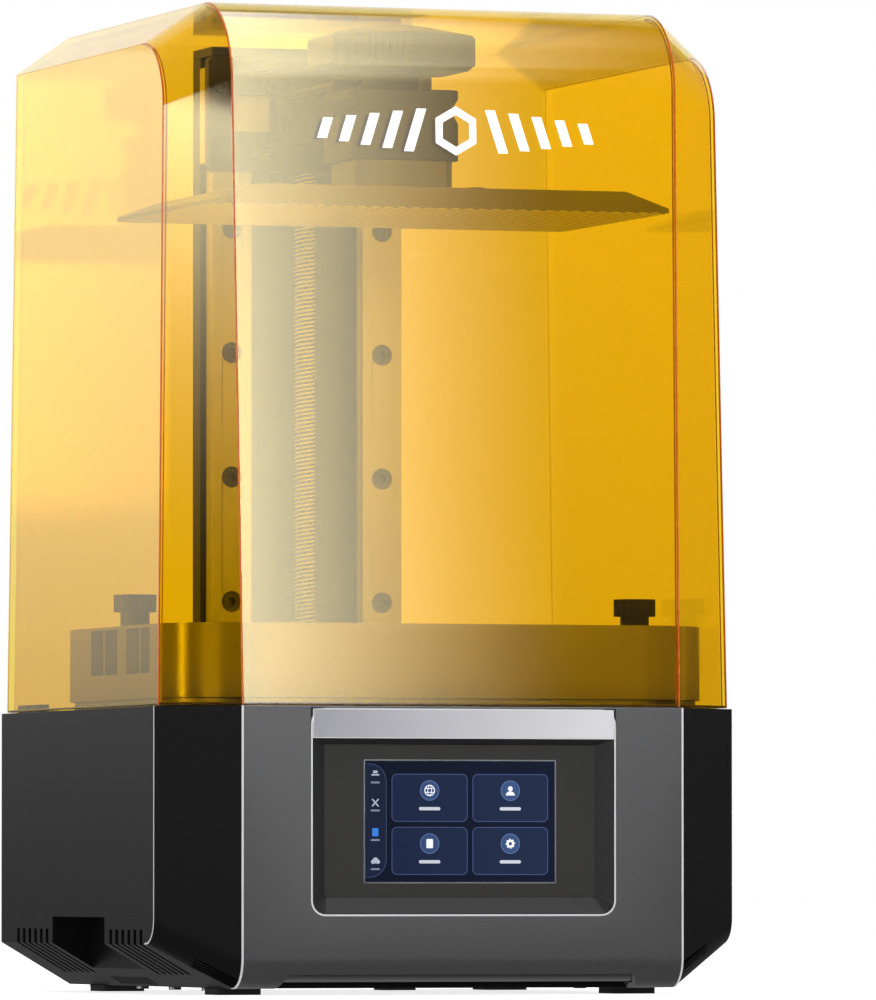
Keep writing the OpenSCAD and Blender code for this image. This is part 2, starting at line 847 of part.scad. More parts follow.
film_screw_spots = [[-123, -80], [123, -80], [-123, 28], [123, 28],
                    [-60, tank_front - 7], [0, tank_front - 7], [60, tank_front - 7]];

module vat() {
    color([0.3, 0.3, 0.31]) difference() {
        translate([0, 0, vat_low]) linear_extrude(vat_top - vat_low) vat_plan(0);
        tank_space(vat_low - 1, vat_top + 1);
        for (s = sides) {
            difference() {
                block([min(s * 124, s * 140), -73, pocket_low], [max(s * 124, s * 140), 18, pocket_top]);
                block([min(s * 120, s * 131), thumb_y - 7, 100], [max(s * 120, s * 131), thumb_y + 7, 200]);
                for (y = [-52, 4]) block([min(s * 120, s * 131), y - 1, 100], [max(s * 120, s * 131), y + 1, 200]);
            }
            post(s * thumb_x, thumb_y, 100, 200, thumb_r + run);
        }
        for (p = film_screw_spots) post(p[0], p[1], 100, vat_low + 6, 1.5);
    }
}

module vat_film() {
    color([0.8, 0.85, 0.9, 0.4]) tank_space(frame_low + 0.2, frame_low + 0.4);
}

module film_frame() {
    color("silver") difference() {
        translate([0, 0, frame_low]) linear_extrude(vat_low - frame_low) vat_plan(2);
        tank_space(frame_low - 1, vat_low + 1);
        for (s = sides) post(s * thumb_x, thumb_y, 100, 200, thumb_r + 0.4);
        for (p = film_screw_spots) {
            post(p[0], p[1], 100, 200, 1.5);
            post(p[0], p[1], 100, frame_low + 1.5, 2.9);
        }
    }
}

module film_screws() {
    color("silver") for (p = film_screw_spots) {
        post(p[0], p[1], frame_low + 0.1, frame_low + 1.5, 2.8);
        post(p[0], p[1], frame_low + 1.5, vat_low + 5.5, 1.5);
    }
}

// A thumb screw with a grooved head, s = -1 on the left
module thumb_screw(s) {
    color([0.2, 0.2, 0.21]) translate([s * thumb_x, thumb_y, 0]) {
        translate([0, 0, deck_low - 6]) cylinder(h = vat_top + 1 - deck_low + 6, r = thumb_r);
        translate([0, 0, vat_top + 0.35]) cylinder(h = 6.5, r = 6.85);
        translate([0, 0, vat_top + 6.7]) linear_extrude(8.1) difference() {
            circle(10);
            for (a = [0:20:340]) rotate(a) translate([10.3, 0]) circle(1);
        }
    }
}

module thumb_screw_left() {
    thumb_screw(-1);
}

module thumb_screw_right() {
    thumb_screw(1);
}

module hood_shell() {
    color([1, 0.75, 0.1, 0.4]) difference() {
        hood_form(0, seam_z + hood_gap);
        hood_form(hood_wall, seam_z - 20);
    }
}

module rear_fan_frame() {
    color([0.1, 0.1, 0.1]) translate([rear_fan_x, back_y - wall - 15.2, rear_fan_z])
        rotate([-90, 0, 0]) fan_frame(30, 15, 28, 12);
}

module rear_fan_rotor() {
    color([0.2, 0.2, 0.2]) translate([rear_fan_x, back_y - wall - 15.2, rear_fan_z])
        rotate([-90, 0, 0]) fan_wheel(2.4, 14, 26.8, 12, 7);
}

module fan_grille() {
    color("silver") translate([rear_fan_x, back_y - 0.5, rear_fan_z]) rotate([90, 0, 0]) {
        for (r = [6, 13, 20, 26]) difference() {
            cylinder(h = 1.6, r = r + 1.9);
            translate([0, 0, -1]) cylinder(h = 4, r = r);
        }
        for (a = [0, 60, 120]) rotate([0, 0, a]) difference() {
            translate([-27.5, -1, 0]) cube([55, 2, 1.6]);
            translate([0, 0, -1]) cylinder(h = 4, r = 6.5);
        }
    }
}

module power_inlet() {
    color([0.1, 0.1, 0.1]) {
        difference() {
            dowel(inlet_x, socket_z, back_y - 16, back_y - 0.4, 5.9);
            dowel(inlet_x, socket_z, back_y - 13, back_y + 1, 3.4);
        }
        dowel(inlet_x, socket_z, back_y - 14, back_y - 3, 1);
    }
}

module switch_frame() {
    color([0.08, 0.08, 0.08]) difference() {
        block([switch_x - 10.8, back_y - 16, socket_z - 8.8], [switch_x + 10.8, back_y - 0.4, socket_z + 8.8]);
        block([switch_x - 9, back_y - 14.5, socket_z - 7.2], [switch_x + 9, back_y + 1, socket_z + 7.2]);
    }
}

rocker_tilt = 6;

module power_switch() {
    color([0.5, 0.05, 0.05]) difference() {
        translate([0, back_y - 7, socket_z]) rotate([-rocker_tilt, 0, 0])
            along_x(switch_x - 8.6, switch_x + 8.6)
                polygon([[-3, -3], [-3, 3], [2, 5.6], [5.8, 5.4], [4.6, 0], [5.8, -5.4], [2, -5.6]]);
        translate([switch_x - 10, back_y - 7, socket_z]) rotate([0, 90, 0]) cylinder(h = 20, r = 1);
    }
}

module usb_port() {
    color("silver") difference() {
        block([side_half - 14, -88.8, 83.2], [side_half - 0.5, -74.2, 89.8]);
        block([side_half - 12, -88, 84], [side_half + 1, -75, 89]);
    }
    color([0.9, 0.9, 0.9]) block([side_half - 12.5, -87, 84], [side_half - 3, -76, 85.6]);
}

base_shell();
front_panel();
edge_trims();
bottom_plate();
bottom_screws();
feet();
name_plate();
screen_bezel();
touch_glass();
screen_display();
deck_plate();
deck_screws();
hood_stops();
mask_screen();
mask_frame();
light_housing();
fresnel_lens();
led_board();
led_chips();
heat_sink();
light_fan_frame();
light_fan_rotor();
main_board();
board_parts();
stepper_motor();
motor_bracket();
motor_shaft();
shaft_coupling();
lead_screw();
lead_nut();
top_bearing();
column();
column_cap();
guide_rails();
rail_screws();
bearing_blocks();
carriage_plate();
carriage_screws();
arm();
clamp_block();
clamp_screw();
hex_knob();
plate_neck();
build_plate();
sensor_flag();
limit_sensor();
vat();
vat_film();
film_frame();
film_screws();
thumb_screw_left();
thumb_screw_right();
hood_shell();
rear_fan_frame();
rear_fan_rotor();
fan_grille();
power_inlet();
switch_frame();
power_switch();
usb_port();
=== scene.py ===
# %% [markdown]
# # A desktop resin printer
# This notebook dresses a working model of a resin printer. The model already holds every part that
# moves or fits, at its real size, so this file never moves or resizes one. It adds the surfaces, the
# clear hood, the moulded details, the lights and the camera. All of it could be modelled again here,
# but then what looks right might no longer work.

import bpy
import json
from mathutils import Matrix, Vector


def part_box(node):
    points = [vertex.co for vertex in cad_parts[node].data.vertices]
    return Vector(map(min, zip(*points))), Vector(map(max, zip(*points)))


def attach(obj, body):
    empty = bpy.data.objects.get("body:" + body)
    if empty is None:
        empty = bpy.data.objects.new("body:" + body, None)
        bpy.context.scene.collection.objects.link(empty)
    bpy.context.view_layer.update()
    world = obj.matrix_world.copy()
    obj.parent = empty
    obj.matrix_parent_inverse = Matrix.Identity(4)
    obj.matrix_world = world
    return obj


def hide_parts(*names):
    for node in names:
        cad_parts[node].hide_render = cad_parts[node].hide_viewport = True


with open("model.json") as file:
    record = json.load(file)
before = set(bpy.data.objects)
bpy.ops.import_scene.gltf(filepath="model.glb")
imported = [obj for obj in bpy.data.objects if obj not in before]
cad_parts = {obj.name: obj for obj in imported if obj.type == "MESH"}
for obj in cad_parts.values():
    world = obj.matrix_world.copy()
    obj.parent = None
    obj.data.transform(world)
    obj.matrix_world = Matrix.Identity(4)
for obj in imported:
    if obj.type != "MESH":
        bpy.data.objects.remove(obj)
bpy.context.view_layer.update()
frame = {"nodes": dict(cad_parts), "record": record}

# %% [markdown]
# ## Tools and units
# Blender counts in metres and a maker in millimetres, so each size below is a number times `MM`. The
# record that comes with the model names a finish and a moving body for every part. Both could be
# typed in again here, but reading them keeps this file true when the model changes.

# %% The rest of the tools and the look-ups
import json
import math

import bmesh
import bpy
from mathutils import Vector

MM = 0.001
scene = bpy.context.scene
slot_of = {part["node"]: part["material_slot"] for part in frame["record"]["subparts"]}
body_of = {node: body for body, nodes in frame["record"]["behaviour"]["bodies"].items() for node in nodes}

# %% [markdown]
# ## The camera
# The printer is seen from its front left corner, low down, with a long lens a few metres away. A long
# lens keeps the upright edges upright, as in a catalogue picture. The camera could be aimed by a
# constraint, but a plain rotation worked out once is easier to read and nothing can disturb it.

# %% Place the camera
DISTANCE = 4.94
AZIMUTH = math.radians(-18.87)
ELEVATION = math.radians(-2.07)
LENS = 376.2
FARTHEST = 60
middle = Vector((0, -0.014, 0.23))
aim = middle + Vector((0.0289, 0, 0.0029))
away = Vector((math.sin(AZIMUTH) * math.cos(ELEVATION), -math.cos(AZIMUTH) * math.cos(ELEVATION),
               math.sin(ELEVATION)))
camera = bpy.data.objects.new("camera", bpy.data.cameras.new("camera"))
scene.collection.objects.link(camera)
camera.location = middle + DISTANCE * away
camera.rotation_euler = (aim - camera.location).to_track_quat("-Z", "Y").to_euler()
camera.data.lens = LENS
camera.data.clip_end = FARTHEST
scene.camera = camera
print("camera stands at", [round(v, 3) for v in camera.location])

# %% [markdown]
# ## Shader sums written as Python
# A material is a small sum: some noise, times a strength, plus a base value. Wiring that by hand takes
# a node for each sign. `Value` wraps a socket so the sum can be written as it is said, and each
# operator adds its own Math node. It also works with the plain number first, as in `1 - mask`.

# %% A socket that does arithmetic
class Value:
    def __init__(self, tree, socket):
        self.tree = tree
        self.socket = socket

    def math(self, operation, first, second):
        node = self.tree.nodes.new("ShaderNodeMath")
        node.operation = operation
        for socket, value in zip(node.inputs, (first, second)):
            feed(self.tree, socket, value)
        return Value(self.tree, node.outputs[0])

    def __add__(self, other):
        return self.math("ADD", self, other)

    def __radd__(self, other):
        return self.math("ADD", other, self)

    def __sub__(self, other):
        return self.math("SUBTRACT", self, other)

    def __rsub__(self, other):
        return self.math("SUBTRACT", other, self)

    def __mul__(self, other):
        return self.math("MULTIPLY", self, other)

    def __rmul__(self, other):
        return self.math("MULTIPLY", other, self)

    def most(self, other):
        """The larger of the two."""
        return self.math("MAXIMUM", self, other)

    def power(self, exponent):
        return self.math("POWER", self, exponent)

    def __gt__(self, other):
        return self.math("GREATER_THAN", self, other)

    def __lt__(self, other):
        return self.math("LESS_THAN", self, other)


print("a Value knows", [name for name in vars(Value) if callable(vars(Value)[name])])

# %% [markdown]
# ## Links and plain numbers
# A socket takes either a link from another node or a number of its own, and the two are set in
# different ways. One function hides that, so a sum may mix both. It could be part of `Value`, but the
# node helper that follows needs it too.

# %% Feed a socket
def feed(tree, socket, value):
    """Link a Value to a socket, or set the socket to a plain number, vector or colour."""
    if isinstance(value, Value):
        tree.links.new(value.socket, socket)
    else:
        socket.default_value = value


print("a Value is linked, and anything else is set with", feed.__name__)

# %% [markdown]
# ## One way to add any node
# A pattern is a node with a few settings and a few numbers. Made by hand, each takes several lines and
# hides the recipe. `Graph.node` makes any of them from its type, its settings and its sockets' values,
# in that order, so a recipe reads from top to bottom. The studio's world uses the same call.

# %% Any node in one call
class Graph:
    def __init__(self, tree):
        self.tree = tree

    def node(self, kind, settings=None, inputs=None, output=0):
        node = self.tree.nodes.new("ShaderNode" + kind)
        for name, value in (settings or {}).items():
            setattr(node, name, value)
        for socket, value in (inputs or {}).items():
            feed(self.tree, node.inputs[socket], value)
        return Value(self.tree, node.outputs[output])

    def place(self, axis, system="Object"):
        """How far a point lies along one axis: 0 is across, 1 is towards the back, 2 is up."""
        coordinates = self.node("TexCoord", output=system)
        return self.node("SeparateXYZ", inputs={"Vector": coordinates}, output=axis)


print("node kinds in reach:", sum(name.startswith("ShaderNode") for name in dir(bpy.types)))

# %% [markdown]
# ## What a finish is
# A finish is a material: the standard shader with its constants, and a few patterns over it. Patterns
# reach only the sockets that vary over a real surface, which are its colour, roughness, glow and
# relief. Everything else, such as how strongly it shines, is one number set on the shader itself.

# %% The finish class
class Finish(Graph):
    def __init__(self, name, colour, roughness, metallic=0.0, **constants):
        self.material = bpy.data.materials.new(name)
        self.material.use_nodes = True
        super().__init__(self.material.node_tree)
        self.shader = self.tree.nodes["Principled BSDF"]
        self.colour = (*colour[:3], 1.0)
        plain = {"Base Color": self.colour, "Roughness": roughness, "Metallic": metallic}
        for socket, value in {**plain, **constants}.items():
            self.shader.inputs[socket].default_value = value

    def where(self, stretch=(1, 1, 1), turn=0.0):
        """The place on the piece, squeezed or stretched along each axis and turned about the upright."""
        place = self.node("TexCoord", output="Object")
        return self.node("Mapping", inputs={"Vector": place, "Scale": stretch, "Rotation": (0, 0, turn)})

    def noise(self, size, stretch=(1, 1, 1), detail=2.0):
        """Cloudy values about 0.5 whose patches are about size across, in metres."""
        return self.node("TexNoise", inputs={"Vector": self.where(stretch), "Scale": 1 / size,
                                             "Detail": detail})

    def tint(self, mask, other, first=None):
        """The first colour, or else the base colour, where mask is 0, and the other where it is 1."""
        ends = [end if isinstance(end, Value) else (*end[:3], 1.0) for end in (first or self.colour, other)]
        return self.node("Mix", {"data_type": "RGBA"}, {0: mask, 6: ends[0], 7: ends[1]}, output=2)

    def put(self, **sockets):
        """Link what varies over the surface: its colour, roughness or glow."""
        names = {"colour": "Base Color", "roughness": "Roughness", "glow": "Emission Color"}
        for name, value in sockets.items():
            feed(self.tree, self.shader.inputs[names[name]], value)
        return self

    def bump(self, height, depth, strength=1.0):
        """Raise the surface by height times depth metres."""
        normal = self.node("Bump", inputs={"Height": height, "Distance": depth, "Strength": strength})
        feed(self.tree, self.shader.inputs["Normal"], normal)
        return self

    def show(self, shader):
        """Let another shader than the standard one reach the surface."""
        feed(self.tree, self.tree.nodes["Material Output"].inputs["Surface"], shader)
        return self


def shade(colour, factor):
    """A colour made lighter or darker."""
    return tuple(min(1.0, channel * factor) for channel in colour[:3])


print("a lighter grey:", [round(value, 2) for value in shade((0.2, 0.2, 0.2), 1.5)])

# %% [markdown]
# ## Moulded plastic
# The tool for a moulded cover is spark eroded, which leaves a fine even texture on every moulding, so
# a highlight breaks up into tiny grains. A plain roughness would look like lacquer. Fine noise raises
# the grains, and slow noise lets the colour and the shine drift a little, as they do over a big part.

# %% Moulded plastic
GRAIN = 0.7 * MM


def moulded(name, colour, roughness, grain=GRAIN, depth=0.02 * MM, **constants):
    finish = Finish(name, colour, roughness, **constants)
    grains = finish.noise(grain, detail=3.0)
    patches = finish.noise(60 * MM)
    finish.put(colour=finish.tint(patches, shade(colour, 1.18)),
               roughness=roughness - 0.06 + 0.08 * grains + 0.04 * patches)
    return finish.bump(grains, depth, 0.6)


print("grains are", round(GRAIN / MM, 1), "mm across unless a part asks for others")

# %% [markdown]
# ## Brushed, blasted and painted metal
# Brushed metal carries long scratches in one direction, blasted metal has a dense pebbled skin, and
# metallic paint has small flakes under a faint orange peel. Each is noise of its own shape: drawn out
# along one axis for the scratches, tight for the pebbles, and cells for the flakes.

# %% Brushed, blasted and painted metal
FLAKE = 0.25 * MM


def brushed(name, colour, roughness, along=(1, 60, 60), line=4 * MM, metal=1.0, **constants):
    finish = Finish(name, colour, roughness, metal, **constants)
    lines = finish.noise(line, stretch=along, detail=4.0)
    patches = finish.noise(45 * MM)
    finish.put(colour=finish.tint(lines, shade(colour, 0.78)),
               roughness=roughness - 0.08 + 0.14 * lines + 0.05 * patches)
    return finish.bump(lines, 0.006 * MM, 0.5)


def blasted(name, colour, roughness, metallic=0.75, pebble=0.45 * MM, **constants):
    finish = Finish(name, colour, roughness, metallic, **constants)
    pebbles = finish.noise(pebble, detail=2.0)
    wear = finish.noise(30 * MM, detail=5.0)
    finish.put(colour=finish.tint(wear, shade(colour, 1.25)),
               roughness=roughness - 0.06 + 0.08 * pebbles + 0.06 * wear)
    return finish.bump(pebbles, 0.012 * MM, 0.6)


def painted(name, colour, roughness, **constants):
    finish = Finish(name, colour, roughness, 0.85, **constants)
    flakes = finish.node("TexVoronoi", inputs={"Vector": finish.where(), "Scale": 1 / FLAKE})
    peel = finish.noise(3 * MM)
    finish.put(colour=finish.tint(flakes, shade(colour, 1.03)),
               roughness=roughness - 0.01 + 0.01 * flakes + 0.01 * peel)
    return finish.bump(peel, 0.003 * MM, 0.3)


print("metal skins:", [skin.__name__ for skin in (brushed, blasted, painted)])

# %% [markdown]
# ## Polished trim
# The thin strips along the front corners and round the screen are diamond cut, and stay bright from
# every side because each one has a rounded bevel too small to model. Polished metal in a quiet studio
# would look dark from most angles, so a faint even glow stands in for all those small reflections.

# %% Polished trim
def trim(name):
    finish = Finish(name, (0.55, 0.55, 0.56), 0.3, 0.4, **{"Emission Strength": 0.14})
    streaks = finish.noise(15 * MM, detail=3.0)
    return finish.put(colour=finish.tint(streaks, (0.62, 0.62, 0.62)), roughness=0.25 + 0.15 * streaks,
                      glow=finish.tint(streaks, (1.0, 1.0, 1.0), first=(0.85, 0.85, 0.87)))


bright_trim = trim("bright_trim")
print("trim nodes:", len(bright_trim.tree.nodes))

# %% [markdown]
# ## The finish of each part
# The record gives every part a named slot. One table turns slots into finishes, so two parts that come
# from the same process look alike, and no part can be forgotten. Choosing a finish for each part by
# hand would also work, but sixty choices drift apart. Two entries carry a part's own name, because
# the black screws differ from the bright ones in the same slot.

# %% Fill the table of finishes
finishes = {
    "black_casing": moulded("black_casing", (0.0045, 0.0045, 0.005), 0.38, grain=0.5 * MM,
                            **{"Specular IOR Level": 0.12}),
    "front_finish": painted("front_finish", (0.195, 0.195, 0.20), 0.31),
    "bright_trim": bright_trim,
    "black_plastic": moulded("black_plastic", (0.018, 0.018, 0.019), 0.42, **{"Specular IOR Level": 0.3}),
    "sheet_steel": brushed("sheet_steel", (0.55, 0.56, 0.57), 0.38, along=(40, 1, 40)),
    "screw_steel": brushed("screw_steel", (0.62, 0.62, 0.64), 0.3, along=(30, 30, 1), line=2 * MM),
    "foot_rubber": moulded("foot_rubber", (0.012, 0.012, 0.012), 0.8, grain=1.2 * MM),
    "deck_metal": painted("deck_metal", (0.045, 0.045, 0.048), 0.4),
    "mask_metal": brushed("mask_metal", (0.55, 0.55, 0.57), 0.35),
    "heat_sink": brushed("heat_sink", (0.7, 0.71, 0.72), 0.36, along=(40, 1, 40)),
    "motor": moulded("motor", (0.03, 0.03, 0.032), 0.35, Metallic=0.4),
    "ground_steel": brushed("ground_steel", (0.68, 0.68, 0.70), 0.24, along=(40, 40, 1)),
    "nut_brass": brushed("nut_brass", (0.75, 0.52, 0.2), 0.3, along=(20, 20, 60)),
    "column_metal": blasted("column_metal", (0.045, 0.047, 0.055), 0.42, metallic=0.3),
    "rail_steel": brushed("rail_steel", (0.80, 0.79, 0.76), 0.4, along=(50, 50, 1), metal=0.35),
    "lift_metal": blasted("lift_metal", (0.05, 0.05, 0.053), 0.42, metallic=0.3),
    "knob_plastic": moulded("knob_plastic", (0.05, 0.05, 0.053), 0.42, Metallic=0.3),
    "vat_metal": blasted("vat_metal", (0.34, 0.33, 0.31), 0.22, metallic=0.5),
    "switch_red": moulded("switch_red", (0.4, 0.012, 0.012), 0.22, depth=0.005 * MM),
    "board_parts": moulded("board_parts", (0.06, 0.06, 0.065), 0.4),
    "carriage_screws": moulded("black_screw", (0.06, 0.06, 0.06), 0.3, Metallic=0.6),
    "rail_screws": moulded("black_oxide", (0.10, 0.10, 0.10), 0.34, Metallic=0.5),
}
print("shared finishes:", len(finishes))

# %% [markdown]
# ## The build plate's etched face
# Resin grips a plate that has been laser etched. The pattern is a lattice of slanting lines a few
# millimetres apart. Two wave patterns that cross at an angle make it, and they both lower the surface
# and roughen it. Cutting the lines into the mesh would take millions of faces. The etching shows only
# underneath, because the lines stop just above the lower face. That lower face is also coloured near
# white, a painted light that stands in for light from below.

# %% Etched plate finish
ETCH_ANGLE = 40
ETCH_SCALE = 62.0


def etched_plate():
    finish = blasted("plate_metal", (0.20, 0.20, 0.21), 0.36, metallic=0.15)
    cuts = []
    for angle in (ETCH_ANGLE, -ETCH_ANGLE):
        place = finish.where(turn=math.radians(angle))
        wave = finish.node("TexWave", {"bands_direction": "X"}, {"Vector": place, "Scale": ETCH_SCALE},
                           output=1)
        cuts.append(wave > 0.86)
    under = finish.place(2) < (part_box("build_plate")[0].z + 0.2 * MM)
    lines = cuts[0].most(cuts[1]) * under
    # painted light: the lower face is coloured near white so that it looks lit from below
    ground = finish.tint(under, (1.0, 0.97, 0.90))
    finish.put(colour=finish.tint(lines, (0.30, 0.28, 0.24), first=ground), roughness=0.34 + 0.25 * lines)
    return finish.bump(1 - lines, 0.05 * MM, 0.6)


finishes["plate_metal"] = etched_plate()
print("plate nodes:", len(finishes["plate_metal"].tree.nodes))

# %% [markdown]
# ## The bright plate over the screen
# The plate is brushed lengthwise, and its colour runs from darker at the left to lighter at the right,
# a painted sheen. One slow ramp along its length sets that, and the brushed lines lie over it. The real
# one is printed with words, and this one is left blank.

# %% Brushed plate finish
def long_plate():
    low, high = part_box("name_plate")
    finish = brushed("name_plate", (0.34, 0.34, 0.38), 0.42, metal=0.4)
    share = (finish.place(0) - low.x) * (1 / (high.x - low.x))
    lines = finish.noise(4 * MM, stretch=(1, 60, 60), detail=4.0)
    # painted sheen: the base colour ramps from darker at the left to lighter at the right
    ground = finish.tint(share, (0.78, 0.78, 0.82))
    return finish.put(colour=finish.tint(lines * 0.3, (0.40, 0.40, 0.42), first=ground))


finishes["name_plate"] = long_plate()

# %% [markdown]
# ## Circuit boards
# A board is green lacquer over copper tracks. The tracks are a regular grid of thin lines, broken up
# by noise, that are slightly raised and a lighter green. Real tracks could be modelled one by one, but
# these boards are seen only through vents and from below, where the pattern is enough.

# %% Circuit board finish
def circuit_board():
    finish = Finish("circuit_board", (0.01, 0.10, 0.035), 0.3)
    tracks = finish.node("TexBrick", inputs={"Vector": finish.where(), "Scale": 120.0,
                                             "Mortar Size": 0.03}, output=1)
    broken = tracks * (finish.noise(6 * MM) > 0.45)
    finish.put(colour=finish.tint(broken, (0.03, 0.22, 0.08)), roughness=0.28 + 0.1 * broken)
    return finish.bump(broken, 0.03 * MM, 0.6)


finishes["circuit_board"] = circuit_board()
print("board nodes:", len(finishes["circuit_board"].tree.nodes))

# %% [markdown]
# ## See-through finishes
# Amber acrylic stops violet light and tints what is behind it. A true refracting shader would leave
# the inside dark and noisy, because lamps cannot find their way through it. Instead each skin lets
# light straight through with an amber tint, and mirrors a little of the room. How much it mirrors
# follows the angle, as on any clear sheet, and is strongest where the skin is seen edge on. The sum
# uses the angle alone, because a Fresnel node takes an inner skin for the inside of thick glass.

# %% Clear sheets
ACRYLIC = 1.49
STRAIGHT_ON = ((ACRYLIC - 1) / (ACRYLIC + 1)) ** 2


def clear_sheet(name, tint, haze=0.02, roughness=0.04):
    finish = Finish(name, (1, 1, 1), roughness, 1.0)
    smears = finish.noise(90 * MM, detail=3.0)
    finish.put(roughness=roughness + 0.03 * smears)
    tilt = finish.node("LayerWeight", inputs={"Blend": 0.5}, output="Facing")
    mirror = STRAIGHT_ON + (1 - STRAIGHT_ON) * tilt.power(5.0)
    through = finish.node("BsdfTransparent", inputs={"Color": (*tint, 1.0)})
    shine = Value(finish.tree, finish.shader.outputs[0])
    return finish.show(finish.node("MixShader", inputs={0: mirror + haze * smears, 1: through, 2: shine}))


finishes["amber_hood"] = clear_sheet("amber_hood", (0.965, 0.818, 0.14), haze=0.006)
finishes["clear_film"] = clear_sheet("clear_film", (0.96, 0.97, 0.98), roughness=0.08)
finishes["lens"] = clear_sheet("lens", (0.93, 0.95, 0.97), roughness=0.12)
print("mirrored straight on:", round(STRAIGHT_ON, 3))

# %% [markdown]
# ## Screens
# The touch glass is backed with dark grey and has a matte film against glare. The display glows: a
# dark blue ground that is a little lighter towards the right, as the panel's own gradient. One flat
# glow would look like a sticker, so a slow drift between two near colours is used.

# %% Screen finishes
def matte_glass():
    finish = Finish("screen_glass", (0.024, 0.023, 0.022), 0.4, **{"Specular IOR Level": 0.3})
    smears = finish.noise(35 * MM, detail=4.0)
    return finish.put(colour=finish.tint(smears, (0.029, 0.028, 0.027)), roughness=0.36 + 0.08 * smears)


def glowing(name, colour, other=None, strength=1.0):
    """A lit patch that drifts from one colour to another across the screen."""
    reach = 70 * MM
    finish = Finish(name, (0.002, 0.002, 0.004), 0.12,
                    **{"Specular IOR Level": 0.15, "Emission Strength": strength})
    drift = finish.noise(reach) * 0.4 + (finish.place(0) * (0.5 / reach) + 0.3)
    return finish.put(glow=finish.tint(drift, other or shade(colour, 1.3), first=colour))


finishes["screen_glass"] = matte_glass()
finishes["display"] = glowing("display", (0.004, 0.007, 0.017), (0.008, 0.012, 0.029))
print("finishes:", len(finishes))

# %% [markdown]
# ## Smooth curves and crisp edges
# The working model arrives with its faces cut apart, so a curved face would show its facets. Shading
# it by angle could be done by an operator, but that would change the part's own mesh. A short node
# group does it on the way to the picture: it joins the faces, shades them smooth, and marks every
# edge that turns more than a set angle as crisp.

# %% A node group that joins faces and shades them by angle
def crisp_edges_group(limit=math.radians(28)):
    group = bpy.data.node_groups.new("join_and_shade", "GeometryNodeTree")
    group.interface.new_socket("Geometry", in_out="INPUT", socket_type="NodeSocketGeometry")
    group.interface.new_socket("Geometry", in_out="OUTPUT", socket_type="NodeSocketGeometry")
    make = group.nodes.new
    start, end = make("NodeGroupInput"), make("NodeGroupOutput")
    merge = make("GeometryNodeMergeByDistance")
    merge.inputs["Distance"].default_value = 0.001 * MM
    forget = make("GeometryNodeRemoveAttribute")
    forget.inputs["Name"].default_value = "custom_normal"
    smooth = make("GeometryNodeSetShadeSmooth")
    sharp = make("GeometryNodeSetShadeSmooth")
    sharp.domain = "EDGE"
    sharp.inputs["Shade Smooth"].default_value = False
    angle = make("GeometryNodeInputMeshEdgeAngle")
    compare = make("FunctionNodeCompare")
    compare.operation = "GREATER_THAN"
    compare.inputs[1].default_value = limit
    chain = [start, merge, forget, smooth, sharp, end]
    for before, after in zip(chain, chain[1:]):
        group.links.new(before.outputs[0], after.inputs[0])
    group.links.new(angle.outputs[0], compare.inputs[0])
    group.links.new(compare.outputs[0], sharp.inputs["Selection"])
    return group


crisp_edges = crisp_edges_group()
print("nodes in the shading group:", len(crisp_edges.nodes))

# %% [markdown]
# ## Dress the working parts
# No real edge is perfectly sharp: a moulding has its tool's radius and a machined part its broken
# edge. A small bevel on each catches the light, which is most of what makes a part look solid. Thin
# strips, chips and meshes go without, because a bevel as wide as they are would tear them.

# %% Give every working part its finish and its edges
EDGE = 0.35 * MM
BEVEL_ANGLE = math.radians(32)
SOFTER = {"front_panel": 0.5 * MM, "screen_bezel": 0.4 * MM, "arm": 0.6 * MM, "clamp_block": 0.8 * MM,
          "carriage_plate": 0.5 * MM, "vat": 0.7 * MM, "build_plate": 0.4 * MM, "feet": 0.6 * MM,
          "column": 0.5 * MM, "name_plate": 0.35 * MM}
NO_BEVEL = {"edge_trims", "vat_film", "led_chips", "fan_grille", "board_parts", "touch_glass",
            "screen_display", "film_screws", "light_fan_rotor", "rear_fan_rotor"}


def bevelled(part, width, segments=2):
    edges = part.modifiers.new("edges", "BEVEL")
    edges.width = width
    edges.segments = segments
    edges.limit_method = "ANGLE"
    edges.angle_limit = BEVEL_ANGLE
    edges.harden_normals = True
    return part


for name, part in frame["nodes"].items():
    part.data.materials.clear()
    part.data.materials.append(finishes.get(name, finishes[slot_of[name]]).material)
    shading = part.modifiers.new("shading", "NODES")
    shading.node_group = crisp_edges
    if name not in NO_BEVEL:
        bevelled(part, SOFTER.get(name, EDGE))
print("dressed", len(frame["nodes"]), "working parts")

# %% [markdown]
# ## A helper for new pieces
# Every new piece needs the same few things: a mesh, a finish, the body it moves with, and perhaps the
# working part that it stands for. These could be set one by one at each piece, but one function does
# them all, so a piece cannot be left behind. Its curves are smooth and its corners stay crisp.

# %% Make a piece from points and faces
def piece(name, points, faces, finish, body, slot, stands_for=(), crisp=28):
    mesh = bpy.data.meshes.new(name)
    mesh.from_pydata([tuple(p) for p in points], [], faces)
    tidy = bmesh.new()
    tidy.from_mesh(mesh)
    bmesh.ops.recalc_face_normals(tidy, faces=tidy.faces)
    tidy.to_mesh(mesh)
    tidy.free()
    mesh.materials.append(finish.material)
    mesh.shade_smooth()
    mesh.set_sharp_from_angle(angle=math.radians(crisp))
    made = bpy.data.objects.new(name, mesh)
    scene.collection.objects.link(made)
    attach(made, body)
    if stands_for:
        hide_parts(*stands_for)
    return made


# %% [markdown]
# ## Stacks and joins
# Most pieces here are a stack of loops, as a potter's coils are: a tube, a thread, a thin plate. One
# function joins loop to loop, and another makes one mesh out of several. Blender's operators could
# bridge and join them too, but they depend on what is selected, and plain lists do not.

